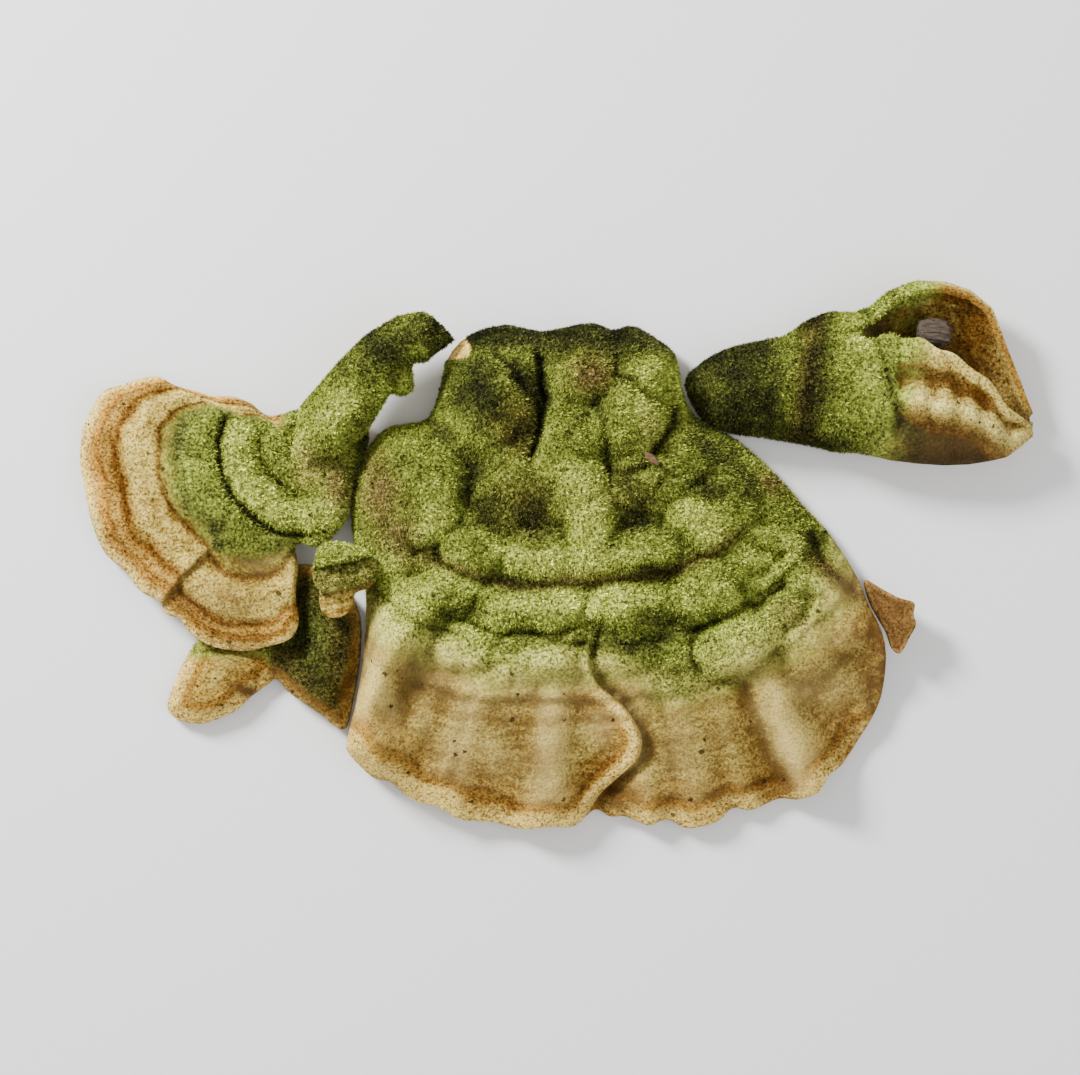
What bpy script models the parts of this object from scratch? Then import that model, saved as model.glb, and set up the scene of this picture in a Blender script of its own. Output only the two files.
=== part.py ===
"""A cluster of turkey tail brackets, cut off its log: one broad main fan on a flat cut base, with a fan on
either side, two small fans below, a young one, and a chip of bark that the right fan has grown round.

It lies as it grew on top of the log. The origin is the middle of the flat cut face, the cluster spreads
towards -Y, and +Z is up. All the named sizes below are in millimetres."""

import math

import bmesh
import bpy
import numpy as np

MM = 0.001

# ---- driving dimensions (mm) ---------------------------------------------------------------------------------
GROWTH_CENTRE = (1.0, 14.7)  # the main fan's zones are arcs about this point
CUT_FACE = (0.0, 1.0, 19.0, 12.0)  # centre x, y and half widths of the flat cut under the base
RIM = 2.4  # thickness of a growing margin
GAP = 0.35  # clearance between neighbouring pieces

MAIN_OUTLINE = (
    (1, 16.8), (6, 15.4), (10.5, 16.2), (15.5, 13.2), (19.2, 9.8), (21, 1), (24.2, -3.8), (32.6, -8.4), (41, -15.8), (46.8, -22.5),
    (53.1, -29.4), (58.2, -37.4), (60.3, -43.1), (63.6, -49.4), (64.7, -55.7), (63, -64.1), (58.2, -72.5),
    (51.5, -80.9), (45.2, -85.1), (35.7, -87.2), (28.4, -89.9), (22.1, -91.6), (13.7, -90.3), (5.7, -89),
    (2.3, -87.8), (-2.1, -90.5), (-13.7, -90.9), (-26.3, -89), (-36.8, -84.6), (-45.2, -79.8), (-51, -73.9),
    (-48.9, -66.2), (-47.3, -56.7), (-46.8, -48.3), (-46.8, -39.9), (-48.9, -30.5), (-49.4, -21),
    (-47.3, -12.2), (-42, -5.7), (-33.6, -3.8), (-30.6, 3.2), (-29, 9.8), (-24.5, 14.6),
    (-17, 16.6), (-9, 15),
)
LEFT_OUTLINE = (
    (-67.2, -2.9), (-75.2, 1.7), (-83.2, 2.7), (-90.7, 5.7), (-95.1, 5), (-102.5, 2.7), (-107.3, -6.1),
    (-108.4, -12.6), (-106.9, -19), (-104.8, -26.5), (-102.1, -32.3), (-97.7, -36.1), (-94, -40.4),
    (-90.3, -42.3), (-86.5, -46.3), (-83.8, -48.9), (-79, -52.2), (-72.5, -53.8), (-67.2, -52.5),
    (-61.8, -50.6), (-60.3, -43.7), (-61, -35.6), (-61.5, -31.5), (-61.2, -29), (-56.5, -31), (-53.6, -28.1),
    (-51, -24.4), (-50.3, -19.5), (-49.4, -14.5), (-46.5, -9), (-47, -4.5), (-53, -1.8), (-59.9, -2.2),
)
# The narrow ridge from the left fan up to the base: x, y, half width, lowest and highest z.
LEFT_RIDGE = (
    (-62, -12.5, 5, 8, 14), (-56.5, -7.5, 6.4, 6.5, 16), (-51, -1.8, 6.8, 5.5, 16.6), (-46.9, 4, 6.2, 5, 16.8),
    (-42.6, 9.4, 5.3, 5, 16.8), (-37.6, 12.8, 5, 5.5, 16.6), (-32.6, 13.4, 5.2, 5.5, 16.4), (-27.2, 12.6, 4.8, 6, 15.4),
)
RIGHT_OUTLINE = (
    (21.6, 3.6), (24.6, 7.8), (30.5, 11.3), (38.4, 13.2), (42.8, 13.9), (47.3, 17), (52.3, 19), (57.5, 18.7),
    (61, 16.5), (63.5, 12), (64.5, 5), (63.5, -4), (61, -9.5), (55.1, -10.8), (46.6, -9.1), (38.2, -7.7),
    (30.5, -6.6), (25, -3.4),
)
# The rolled sheet of the right fan, from its closed end to its mouth. At each station: x, the lowest and highest y
# it reaches, its lowest and highest z, and the angles where its under and over edges stop, measured round the
# roll from -Y (90 is straight up).
RIGHT_ROLL = (
    (49.0, -7.6, 15.6, 2.4, 13.2, -216, 134), (55.0, -10.2, 17.9, 1.9, 14.9, -216, 131),
    (60.5, -11.6, 19.6, 1.6, 15.6, -212, 126),
    (64.5, -12.6, 23.4, 1.2, 15.8, -208, 119), (70.0, -13.4, 25.8, 1.0, 15.6, -205, 111),
    (76.0, -13.8, 25.4, 1.0, 15.4, -203, 103), (81.0, -13.5, 23.8, 1.0, 14.8, -201, 96),
    (85.5, -12.8, 20.0, 1.2, 13.8, -198, 88), (89.0, -12.0, 11.0, 1.4, 12.4, -190, 84),
    (92.0, -9.8, 4.4, 1.8, 10.4, -180, 80), (94.2, -7.8, -1.4, 2.6, 8.6, -170, 74),
)
LOWER_LEFT_OUTLINE = (
    (-60, -34.5), (-54, -37), (-48.7, -44), (-48.3, -54), (-50, -65), (-52.2, -70.2), (-56.5, -66.4),
    (-60.3, -63.8), (-63.6, -61.3), (-65.7, -59), (-67.8, -60.5), (-71.3, -63), (-74.1, -65.7), (-78.1, -67.6),
    (-82.5, -68.7), (-86.9, -67.6), (-89.2, -65.1), (-87.6, -59.6), (-84.4, -53.6), (-80, -48), (-72, -42),
    (-65, -37.5),
)
LOWER_RIGHT_OUTLINE = (
    (59.8, -38), (63.5, -39.9), (69.5, -42.6), (70.1, -45.2), (69.3, -49.3), (66.6, -53.6), (65.1, -52.5),
    (64, -49), (60.8, -42.8),
)
YOUNG_OUTLINE = (
    (-55.4, -30.6), (-51.6, -29.8), (-45.9, -31.6), (-43.7, -35.6), (-44.5, -39.6), (-48.4, -41.4), (-49.4, -43.6),
    (-51, -45.6), (-53.6, -46), (-55.8, -44.6), (-56.4, -42), (-57, -39), (-56.8, -34.6),
)

# Growth steps of the main fan: radius about the growth centre, and how far the surface drops outside it.
GROWTH_STEPS = ((53.5, 1.6), (66.8, 1.4), (78.0, 0.9))
# Radial pleats of the main fan: angle from -Y in degrees, half width in degrees, height at the margin.
MAIN_PLEATS = (
    (-33, 4.2, 4.6), (-17.6, 4, 2.2), (-6.6, 4.5, 2.8), (10, 5, 1.6), (27.5, 4.0, 4.8), (43.5, 4.8, 4.0), (54, 4, 3),
)
# Swollen lobes of the main fan: x, y, half length, half width, turn in degrees, lift.
MAIN_LOBES = (
    (-20.5, 0.5, 14.5, 10.5, 78, 4.6), (-37.5, -19, 17.5, 12.5, 72, 4.8), (11, -1.5, 12, 9.5, 60, 4.2),
    (0.5, 5.5, 7.4, 6.4, 10, 4.6), (15.5, 7.2, 5.2, 4.8, 0, 4.2), (22.5, -8.5, 9.5, 6.4, -40, 3.0),
    (-4.5, -9.5, 7.5, 6, 0, 3.4), (-13, -17.5, 9.5, 11, 0, 3.0), (-3.5, -18.5, 9, 7, 10, 4.2), (13.5, -17.5, 9.5, 6.5, 8, 3.6),
    (24.5, -25, 9.5, 6.5, -32, 3.8), (33.5, -19, 9.5, 6, -45, 2.4), (42.5, -26, 10, 4.6, -52, 3.2),
    (51.5, -38, 10, 4.2, -62, 3.2), (-24, -31.5, 7.5, 5.6, -12, 3.4), (-7.5, -33, 10.5, 5, 0, 3.0),
    (11, -32, 9.5, 5, 8, 3.0), (33.5, -31.5, 8.5, 5.5, 28, 2.6), (44, -37, 6.5, 5, 40, 2.2), (-29.5, -42, 7, 4.6, -6, 3.0),
    (-12.5, -43.5, 11.5, 5.2, 0, 3.2), (9, -43, 9.5, 5.4, 6, 3.2), (25.5, -39.5, 9, 6.4, 24, 3.6), (40, -44, 7.5, 5, 40, 1.8),
    (-39.5, -48, 8.5, 7, 80, 3.0), (-26.5, -52, 7.5, 5, -8, 2.4), (-11, -54.5, 9, 5, 0, 2.6), (7.5, -53.5, 8, 4.6, 8, 1.8),
    (19.5, -52, 6, 4.6, 16, 1.6), (32.5, -50.5, 9.5, 7, 26, 4.0), (48, -52, 8.5, 6.5, 40, 2.6), (54.5, -47, 6.5, 7, 20, 2.6),
    (-7, 14, 13, 6, 0, 3.0), (-26, 9, 6, 5, 40, 2.2),
)
# Where the front left lobe's free edge lies over the right lobe: x of the edge at each y.
OVERLAP_Y = (-89, -86, -81, -76, -71, -66, -59, -53.5)
OVERLAP_X = (2.3, 4.5, 8.5, 11.6, 11.5, 9.5, 4.5, 1.0)
OVERLAP_STEP = 2.6


# ---- shape functions -----------------------------------------------------------------------------------------
def smoothstep(low, high, value):
    t = np.clip((value - low) / (high - low), 0, 1)
    return t * t * (3 - 2 * t)


def closed_curve(points, count):
    """count points, evenly spaced along the smooth closed curve through the given ones."""
    p = np.array(points, float)
    t = np.linspace(0, 1, 24, endpoint=False)[:, None, None]
    before, start, end, after = np.roll(p, 1, 0), p, np.roll(p, -1, 0), np.roll(p, -2, 0)
    curve = 0.5 * (
        2 * start + (end - before) * t + (2 * before - 5 * start + 4 * end - after) * t**2
        + (3 * start - before - 3 * end + after) * t**3
    )
    dense = curve.transpose(1, 0, 2).reshape(-1, 2)
    dense = np.vstack([dense, dense[:1]])
    run = np.concatenate([[0], np.cumsum(np.hypot(*np.diff(dense, axis=0).T))])
    at = np.linspace(0, run[-1], count, endpoint=False)
    return np.stack([np.interp(at, run, dense[:, 0]), np.interp(at, run, dense[:, 1])], 1)


def distance_to(path, x, y):
    """Distance from each point to a line of points."""
    nearest = np.full(x.shape, 1e9)
    for (ax, ay), (bx, by) in zip(path[:-1], path[1:]):
        length2 = (bx - ax) ** 2 + (by - ay) ** 2 + 1e-12
        t = np.clip(((x - ax) * (bx - ax) + (y - ay) * (by - ay)) / length2, 0, 1)
        nearest = np.minimum(nearest, np.hypot(x - ax - t * (bx - ax), y - ay - t * (by - ay)))
    return nearest


def edge_distance(outline, x, y):
    curve = closed_curve(outline, 160)
    return distance_to(np.vstack([curve, curve[:1]]), x, y)


def lobes_height(lobes, x, y):
    """Height of the swollen lobes over the surface that they stand on."""
    height = np.zeros(x.shape)
    for cx, cy, length, width, turn, lift in lobes:
        c, s = math.cos(math.radians(turn)), math.sin(math.radians(turn))
        along, across = (x - cx) * c + (y - cy) * s, (y - cy) * c - (x - cx) * s
        inside = np.clip(1 - (along / length) ** 2 - (across / width) ** 2, 0, 1)
        height = np.maximum(height, lift * smoothstep(0, 0.85, inside))
    return height


def pleats_height(pleats, x, y):
    angle = np.degrees(np.arctan2(x - GROWTH_CENTRE[0], GROWTH_CENTRE[1] - y))
    return sum(lift * np.exp(-(((angle - at) / width) ** 2)) for at, width, lift in pleats)


def main_fan(x, y):
    """Top and underside of the main fan."""
    d = edge_distance(MAIN_OUTLINE, x, y)
    radius = np.hypot(x - GROWTH_CENTRE[0], y - GROWTH_CENTRE[1])
    softness = 4 + 22 * smoothstep(-2, -46, y) * smoothstep(-49, -30, x + 0.16 * (y + 45))
    folds = pleats_height(MAIN_PLEATS, x, y) * smoothstep(-25, -45, y)
    near_edge = np.exp(-((d / 32) ** 2))
    steps = sum(drop * (1 - smoothstep(at - 1.5, at + 1.5, radius)) for at, drop in GROWTH_STEPS)
    inland = 1 - np.exp(-d / 5)
    top = RIM + folds * near_edge + 14.4 * (1 - np.exp(-d / softness)) + steps * inland
    top += lobes_height(MAIN_LOBES, x, y) * inland
    over = smoothstep(0.7, -0.7, x - np.interp(y, OVERLAP_Y, OVERLAP_X)) * smoothstep(-52, -62, y)
    top += OVERLAP_STEP * over * smoothstep(-44, -30, x)
    cx, cy, half_x, half_y = CUT_FACE
    off_cut = smoothstep(1.0, 1.5, np.hypot((x - cx) / half_x, (y - cy) / half_y))
    under = np.minimum(top - RIM, (3 + folds * near_edge) * off_cut)
    return top, np.maximum(under, 0)


def left_fan(x, y):
    """Top and underside of the left fan and the narrow ridge that joins it to the base."""
    growing = closed_curve(LEFT_OUTLINE, 160)
    growing = growing[growing[:, 0] < -60.2]
    d = distance_to(growing, x, y)
    inner = edge_distance(LEFT_OUTLINE, x, y)
    lift = 2.6 + 1.2 * np.sin(x * 0.22 + y * 0.31) + 3.9 * smoothstep(-31, -42, y)
    dome = lift + RIM + 9 * (1 - np.exp(-d / 15))
    dome += 1.5 * np.exp(-(((d - 33.5) / 3.2) ** 2)) - 1.2 * np.exp(-(((d - 29.3) / 1.2) ** 2))
    dome += 1.3 * (1 - smoothstep(-34, -38, y)) * smoothstep(-78, -84, x)
    ridge = smoothstep(-62, -56, x)
    floor = lift + 0.5 * RIM + 2.5 * ridge
    top = floor + (dome + 1.5 * ridge - floor) * (1 - np.exp(-inner / (0.25 + 2.2 * ridge)))
    return top, np.maximum(top - np.minimum(RIM + 0.27 * d, 10), 1.2)


def right_fan(x, y):
    """Top and underside of the closed end of the right fan."""
    d = edge_distance(RIGHT_OUTLINE, x, y)
    top = 5.0 + 9.6 * (1 - np.exp(-d / 4.5)) - 2.2 * smoothstep(57, 64, x)
    return top, np.maximum(top - (RIM + 1.6 * d), 2.0)


def lower_left_fan(x, y):
    d = edge_distance(LOWER_LEFT_OUTLINE, x, y)
    covered = smoothstep(-56, -51, y)
    top = RIM + 3.3 * (1 - np.exp(-d / 6)) * (1 - covered) + 0.7 * covered * smoothstep(0, 3, d)
    top += lobes_height(((-79, -60, 10, 7.5, 35, 1.6),), x, y) * (1 - covered)
    return top, np.maximum(np.minimum(top - RIM, 1.6), 0)


def lower_right_fan(x, y):
    outward = smoothstep(60, 70, x)
    top = 2.6 + 6.0 * outward
    return top, top - 1.5


def young_fan(x, y):
    d = edge_distance(YOUNG_OUTLINE, x, y)
    tiers = 11.6 + 1.6 * smoothstep(-42.6, -41.4, y) + 1.6 * smoothstep(-38.2, -37, y)
    return tiers + 1.6 * (1 - np.exp(-d / 1.2)) - 1.2, tiers - 4.6 - 1.6 * smoothstep(0, 3, d)


# ---- building ------------------------------------------------------------------------------------------------
def material(name, colour, roughness):
    made = bpy.data.materials.new(name)
    made.use_nodes = True
    shader = made.node_tree.nodes["Principled BSDF"]
    shader.inputs["Base Color"].default_value = (*colour, 1)
    shader.inputs["Roughness"].default_value = roughness
    shader.inputs["Metallic"].default_value = 0.0
    return made


def add(name, mesh, finish, collection):
    mesh.materials.append(finish)
    mesh.shade_smooth()
    made = bpy.data.objects.new(name, mesh)
    collection.objects.link(made)
    return made


def closed_mesh(name, shape):
    """The mesh of a finished closed shape, in triangles, with its faces turned outward."""
    bmesh.ops.triangulate(shape, faces=shape.faces)
    if shape.calc_volume(signed=True) < 0:
        bmesh.ops.reverse_faces(shape, faces=shape.faces)
    mesh = bpy.data.meshes.new(name)
    shape.to_mesh(mesh)
    shape.free()
    return mesh


def moulded(name, outline, heart, surfaces, segments, rings):
    """A sphere moulded into a bracket: its equator becomes the outline, its two halves the top and underside.
    heart is the point inside the outline that the poles come to."""
    shape = bmesh.new()
    bmesh.ops.create_uvsphere(shape, u_segments=segments, v_segments=rings, radius=1)
    co = np.array([v.co for v in shape.verts])
    latitude = np.arcsin(np.clip(co[:, 2], -1, 1)) / (math.pi / 2)
    reach = 1 - np.abs(latitude) ** 1.5
    reach[np.abs(latitude) > 0.999] = 0
    edge = closed_curve(outline, segments)
    around = np.degrees(np.arctan2(co[:, 1], co[:, 0])) / 360 * segments
    edge = edge if polygon_area(edge) > 0 else edge[::-1]
    at = edge[np.round(around).astype(int) % segments]
    x, y = (np.array(heart) + reach[:, None] * (at - heart)).T
    top, under = surfaces(x, y)
    z = np.where(latitude > 0.001, top, np.where(latitude < -0.001, under, (top + under) / 2))
    for vert, place in zip(shape.verts, np.stack([x, y, z], 1) * MM):
        vert.co = place
    return closed_mesh(name, shape)


def swept(name, stations, segments, rings):
    """A sphere drawn out along a line of stations, each with its own half width, lowest and highest z."""
    shape = bmesh.new()
    bmesh.ops.create_uvsphere(shape, u_segments=segments, v_segments=rings, radius=1)
    co = np.array([v.co for v in shape.verts])
    run = np.arccos(np.clip(-co[:, 2], -1, 1)) / math.pi * (len(stations) - 1)
    table = np.array(stations, float)
    x, y, half, low, high = (np.interp(run, range(len(table)), column) for column in table.T)
    heading = np.arctan2(*(np.gradient(table[:, k]) for k in (1, 0)))
    heading = np.interp(run, range(len(table)), np.unwrap(heading))
    swell = np.minimum(1, np.sqrt(np.clip(1 - co[:, 2] ** 2, 0, 1)) * 1.9)
    ring = np.maximum(np.hypot(co[:, 0], co[:, 1]), 1e-9)
    across, upward = co[:, 0] / ring * swell, co[:, 1] / ring * swell
    x, y = x - np.sin(heading) * across * half, y + np.cos(heading) * across * half
    z = (low + high) / 2 + upward * (high - low) / 2
    for vert, place in zip(shape.verts, np.stack([x, y, z], 1) * MM):
        vert.co = place
    return closed_mesh(name, shape)


def rolled(name, stations, along, around):
    """A sheet curled into an open roll, with its growing margins rounded off."""
    shape = bmesh.new()
    bmesh.ops.create_grid(shape, x_segments=along, y_segments=around, size=0.5)
    co = np.array([v.co for v in shape.verts]) + 0.5
    table = np.array(stations, float)
    run = co[:, 0] * (len(table) - 1)
    x, y0, y1, z0, z1, start, stop = (np.interp(run, range(len(table)), column) for column in table.T)
    angle = np.radians(start + (stop - start) * co[:, 1])
    half_y, half_z = (y1 - y0 - RIM) / 2, (z1 - z0 - RIM) / 2
    y = (y0 + y1) / 2 - half_y * np.cos(angle)
    z = (z0 + z1) / 2 + half_z * np.sin(angle)
    for vert, place in zip(shape.verts, np.stack([x, y, z], 1) * MM):
        vert.co = place
    shape.normal_update()
    middle = [(vert, vert.normal * RIM * MM / 2) for vert in shape.verts]
    skins = bmesh.ops.duplicate(shape, geom=shape.verts[:] + shape.edges[:] + shape.faces[:])["vert_map"]
    for vert, shift in middle:
        skins[vert].co = vert.co - shift
        vert.co = vert.co + shift
    bmesh.ops.bridge_loops(shape, edges=[edge for edge in shape.edges if edge.is_boundary])
    bmesh.ops.recalc_face_normals(shape, faces=shape.faces)
    return closed_mesh(name, shape)


def join(target, mesh, cutters):
    """Unites another mesh with the target object."""
    tool = bpy.data.objects.new(mesh.name, mesh)
    tool.display_type = "WIRE"
    tool.hide_render = True
    cutters.objects.link(tool)
    union = target.modifiers.new("union", "BOOLEAN")
    union.operation = "UNION"
    union.solver = "EXACT"
    union.object = tool


def polygon_area(points):
    x, y = points.T
    return 0.5 * np.sum(x * np.roll(y, -1) - y * np.roll(x, -1))


def chunk(name, centre, size, turn, base_z, seed):
    """A rough, splintery lump, such as a chip of bark or a husk, standing on base_z."""
    rng = np.random.default_rng(seed)
    shape = bmesh.new()
    bmesh.ops.create_icosphere(shape, subdivisions=2, radius=1)
    co = np.array([v.co for v in shape.verts])
    boxy = co / np.abs(co).max(1, keepdims=True)
    co = (0.5 * co + 0.5 * boxy) * (1 + rng.uniform(-0.08, 0.08, (len(co), 1)))
    co *= np.array(size) / 2 / np.abs(co).max(0)
    c, s = math.cos(math.radians(turn)), math.sin(math.radians(turn))
    x, y = co[:, 0] * c - co[:, 1] * s + centre[0], co[:, 0] * s + co[:, 1] * c + centre[1]
    z = co[:, 2] - co[:, 2].min() + base_z
    for vert, place in zip(shape.verts, np.stack([x, y, z], 1) * MM):
        vert.co = place
    return closed_mesh(name, shape)


def main():
    for old in list(bpy.data.objects):
        bpy.data.objects.remove(old)
    cluster = bpy.data.collections.new("turkey_tail_cluster")
    bpy.context.scene.collection.children.link(cluster)
    cutters = bpy.data.collections.new("cutters")
    bpy.context.scene.collection.children.link(cutters)

    velvet = material("algae_green_velvet", (0.22, 0.25, 0.06), 0.95)
    flesh = material("cream_tan_zones", (0.45, 0.34, 0.15), 0.85)
    brown = material("aged_brown", (0.16, 0.08, 0.03), 0.85)
    bark = material("bark", (0.07, 0.045, 0.03), 0.9)

    brackets = (
        ("main_fan", MAIN_OUTLINE, (1, -28), main_fan, 70, 25, velvet),
        ("left_fan", LEFT_OUTLINE, (-70, -16), left_fan, 56, 15, flesh),
        ("right_fan", RIGHT_OUTLINE, (46, 3), right_fan, 40, 14, velvet),
        ("lower_left_fan", LOWER_LEFT_OUTLINE, (-62, -52.5), lower_left_fan, 36, 10, flesh),
        ("lower_right_fan", LOWER_RIGHT_OUTLINE, (66, -45.5), lower_right_fan, 24, 8, brown),
        ("young_fan", YOUNG_OUTLINE, (-51.2, -37.5), young_fan, 26, 12, flesh),
    )
    for name, outline, heart, surfaces, segments, rings, finish in brackets:
        made = add(name, moulded(name, outline, heart, surfaces, segments, rings), finish, cluster)
        if name == "left_fan":
            join(made, swept("left_ridge", LEFT_RIDGE, 14, 18), cutters)
        if name == "right_fan":
            join(made, rolled("right_roll", RIGHT_ROLL, 16, 26), cutters)

    add("bark_chip", chunk("bark_chip", (74, 14.6), (8, 6.2, 6), -12, 4.7, 3), bark, cluster)
    add("husk", chunk("husk", (13.7, -12.6), (3.6, 1.9, 1.4), -38, 20.75, 5), bark, cluster)


main()
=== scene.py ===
"""The finished look of a turkey tail cluster: lumpy, velvety fans that are green with algae and end in
cream and tan zones, with a thin wavy margin, laid upper side up on the flat face where it was cut off
its log.

Sizes are in millimetres while a piece is shaped, and in metres on the finished mesh."""

import math

import bmesh
import bpy
import numpy as np
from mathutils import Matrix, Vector


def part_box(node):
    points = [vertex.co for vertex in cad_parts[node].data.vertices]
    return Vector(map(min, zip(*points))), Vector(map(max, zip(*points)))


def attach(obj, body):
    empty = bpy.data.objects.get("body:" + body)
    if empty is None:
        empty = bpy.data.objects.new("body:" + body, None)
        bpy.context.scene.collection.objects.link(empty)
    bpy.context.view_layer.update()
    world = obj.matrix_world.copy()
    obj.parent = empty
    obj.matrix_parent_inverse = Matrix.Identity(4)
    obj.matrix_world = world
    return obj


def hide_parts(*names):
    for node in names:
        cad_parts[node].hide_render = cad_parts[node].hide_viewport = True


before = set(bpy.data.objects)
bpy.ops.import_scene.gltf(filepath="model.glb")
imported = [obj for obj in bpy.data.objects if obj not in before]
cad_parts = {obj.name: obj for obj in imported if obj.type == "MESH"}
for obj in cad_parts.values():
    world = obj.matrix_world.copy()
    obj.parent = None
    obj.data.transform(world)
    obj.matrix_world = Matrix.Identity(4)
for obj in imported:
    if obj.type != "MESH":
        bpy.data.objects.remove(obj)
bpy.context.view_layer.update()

MM = 0.001
RIM = 2.4  # thickness of a growing margin
LOWEST_TOP, HIGHEST_TOP = 1.2, 23.1  # the main fan's upper side keeps between these heights
OLD_PART = 33.0  # how far in from the margin a fan's old, green part counts as being
ZONE_REACH = 40.0  # the zones' colours are given over this distance in from the margin
LEFT_REACH = 45.0  # the left fan's length along its zones
HAIR_LENGTH, SHORT_HAIR_LENGTH, HAIR_THICKNESS = 0.0007, 0.0006, 0.00013  # in metres
GROWTH_CENTRE = np.array((1.0, 14.7))  # the main fan's zones are arcs about this point
LEFT_CENTRE = np.array((-60.0, -10.0))
CUT_FACE = (0.0, 1.0, 19.0, 12.0)  # its middle and its half widths

MAIN_OUTLINE = (
    (1, 16.6), (6, 15.2), (10.5, 16.0), (15.5, 13.1), (19.2, 9.7), (21, 1), (24.2, -3.8), (32.6, -8.4),
    (41, -15.8), (46.8, -22.5), (53.1, -29.4), (58.2, -37.4), (60.3, -43.1), (63.2, -49.4), (64.0, -55.7),
    (62.8, -64.1), (58.2, -72.5), (54.6, -77.6), (51.8, -79.4), (49.6, -82.9), (45.2, -84.7), (41.5, -84.6),
    (35.7, -87.0), (31.5, -86.6), (28.4, -89.4), (22.1, -90.9), (18.6, -89.2), (16.4, -89.2), (13.7, -90.2),
    (8.5, -88.3), (5.7, -88.6), (2.3, -87.0), (-2.1, -90.3), (-7.5, -90.2), (-13.7, -90.8), (-19.5, -89.4),
    (-26.3, -88.8), (-31.0, -86.1), (-36.8, -84.6), (-41.2, -80.9), (-45.2, -79.8), (-50.1, -74.4),
    (-50.0, -70.5), (-48.9, -66.2), (-47.3, -56.7), (-46.8, -48.3), (-46.8, -39.9), (-48.9, -30.5),
    (-49.4, -21), (-47.3, -12.2), (-42, -5.7), (-33.6, -3.8), (-30.6, 3.2), (-29, 9.6), (-24.5, 14.2),
    (-17, 16.3), (-9, 14.9),
)
# The front left lobe of the main fan, whose right side is a free edge that lies over the right lobe.
FRONT_LOBE_OUTLINE = (
    (-30, -42), (-12, -40), (-3, -41.5), (1.8, -44.2), (2.6, -47.5), (1.2, -51.5), (0.8, -55.4),
    (2.9, -59.9), (7.4, -63.6), (10.4, -67.4), (12.1, -71.6), (11.0, -76), (7.6, -79.4), (3.6, -83.2),
    (1.2, -87.0), (-2.1, -90.4), (-7.5, -90.3), (-13.7, -90.9), (-19.5, -89.5), (-26.3, -88.9),
    (-31.0, -86.2), (-36.8, -84.7), (-41.2, -81), (-45.2, -79.9), (-50.2, -74.4), (-50.0, -70.5),
    (-48.9, -66.2), (-46, -57), (-42, -48),
)
LEFT_OUTLINE = (
    (-67.2, -2.9), (-71, -0.3), (-75.2, 1.2), (-79.5, 1.3), (-83.2, 2.4), (-87.4, 3.6), (-90.7, 5.4),
    (-95.1, 4.8), (-99.5, 3.4), (-102.5, 2.2), (-105.2, -2.4), (-106.9, -6.1), (-107.5, -12.6),
    (-106.2, -19), (-104.6, -26.5), (-102.1, -32.3), (-97.7, -36.1), (-94, -40.4), (-90.3, -42.3),
    (-88.6, -45.2), (-85.9, -46.2), (-83.6, -49.2), (-79, -52.0), (-72.5, -53), (-67.2, -52.0),
    (-62.2, -50.3), (-60.5, -46.5), (-61.2, -41.6), (-60.8, -35.6), (-61.5, -31.5), (-60.6, -29.8),
    (-56.5, -30.6), (-53.6, -28.1), (-50.8, -24.4), (-49.9, -19.5), (-49.0, -14.5), (-46.5, -9),
    (-47, -4.5), (-53, -1.0), (-59.9, -1.6),
)
# The narrow ridge from the left fan up to the base: x, y, half width, lowest and highest z.
LEFT_RIDGE = (
    (-62, -12.5, 5, 8, 14), (-56.5, -7.5, 6.4, 6.5, 16), (-51, -1.8, 6.8, 5.5, 16.6),
    (-46.9, 4, 6.2, 5, 16.8), (-42.6, 9.4, 5.3, 5, 16.8), (-37.6, 12.8, 5, 5.5, 16.6),
    (-32.6, 13.4, 5.2, 5.5, 16.4), (-27.2, 12.6, 4.8, 6, 15.4),
)
DROPLET_LOBE = (
    (-41, 9, 3.2, 9, 15), (-39.2, 5.5, 2.8, 8.6, 14), (-38.6, 2.9, 2.6, 8.4, 13),
    (-38.4, 0.8, 2.2, 8.6, 12.2),
)
RIGHT_OUTLINE = (
    (21.6, 3.6), (24.6, 7.8), (30.5, 11.0), (38.4, 12.9), (42.8, 13.9), (47.3, 17), (52.3, 18.8),
    (57.5, 18.5), (61, 16.5), (63.5, 12), (64.5, 5), (63.5, -4), (61, -9.5), (55.1, -10.6), (46.6, -8.9),
    (38.2, -7.5), (30.5, -6.4), (25, -3.3),
)
# The rolled sheet of the right fan, from its closed end to its mouth: x, the lowest and highest y, the
# lowest and highest z, and the angles where its under and over edges stop, measured round it from -Y.
RIGHT_ROLL = (
    (49.0, -7.6, 15.6, 2.4, 13.2, -216, 134), (55.0, -10.2, 17.9, 1.9, 14.9, -216, 131),
    (60.5, -11.6, 19.6, 1.6, 15.6, -212, 126), (64.5, -12.6, 23.0, 1.2, 15.7, -208, 119),
    (70.0, -13.3, 25.3, 1.0, 15.6, -205, 111), (76.0, -13.7, 25.2, 1.0, 15.4, -203, 103),
    (81.0, -13.5, 23.6, 1.0, 14.8, -201, 96), (85.5, -12.8, 20.0, 1.2, 13.8, -198, 88),
    (89.0, -12.0, 11.0, 1.4, 12.4, -190, 84), (92.0, -9.8, 4.4, 1.8, 10.4, -180, 80),
    (94.4, -7.6, -1.4, 2.6, 8.4, -170, 74),
)
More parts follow.
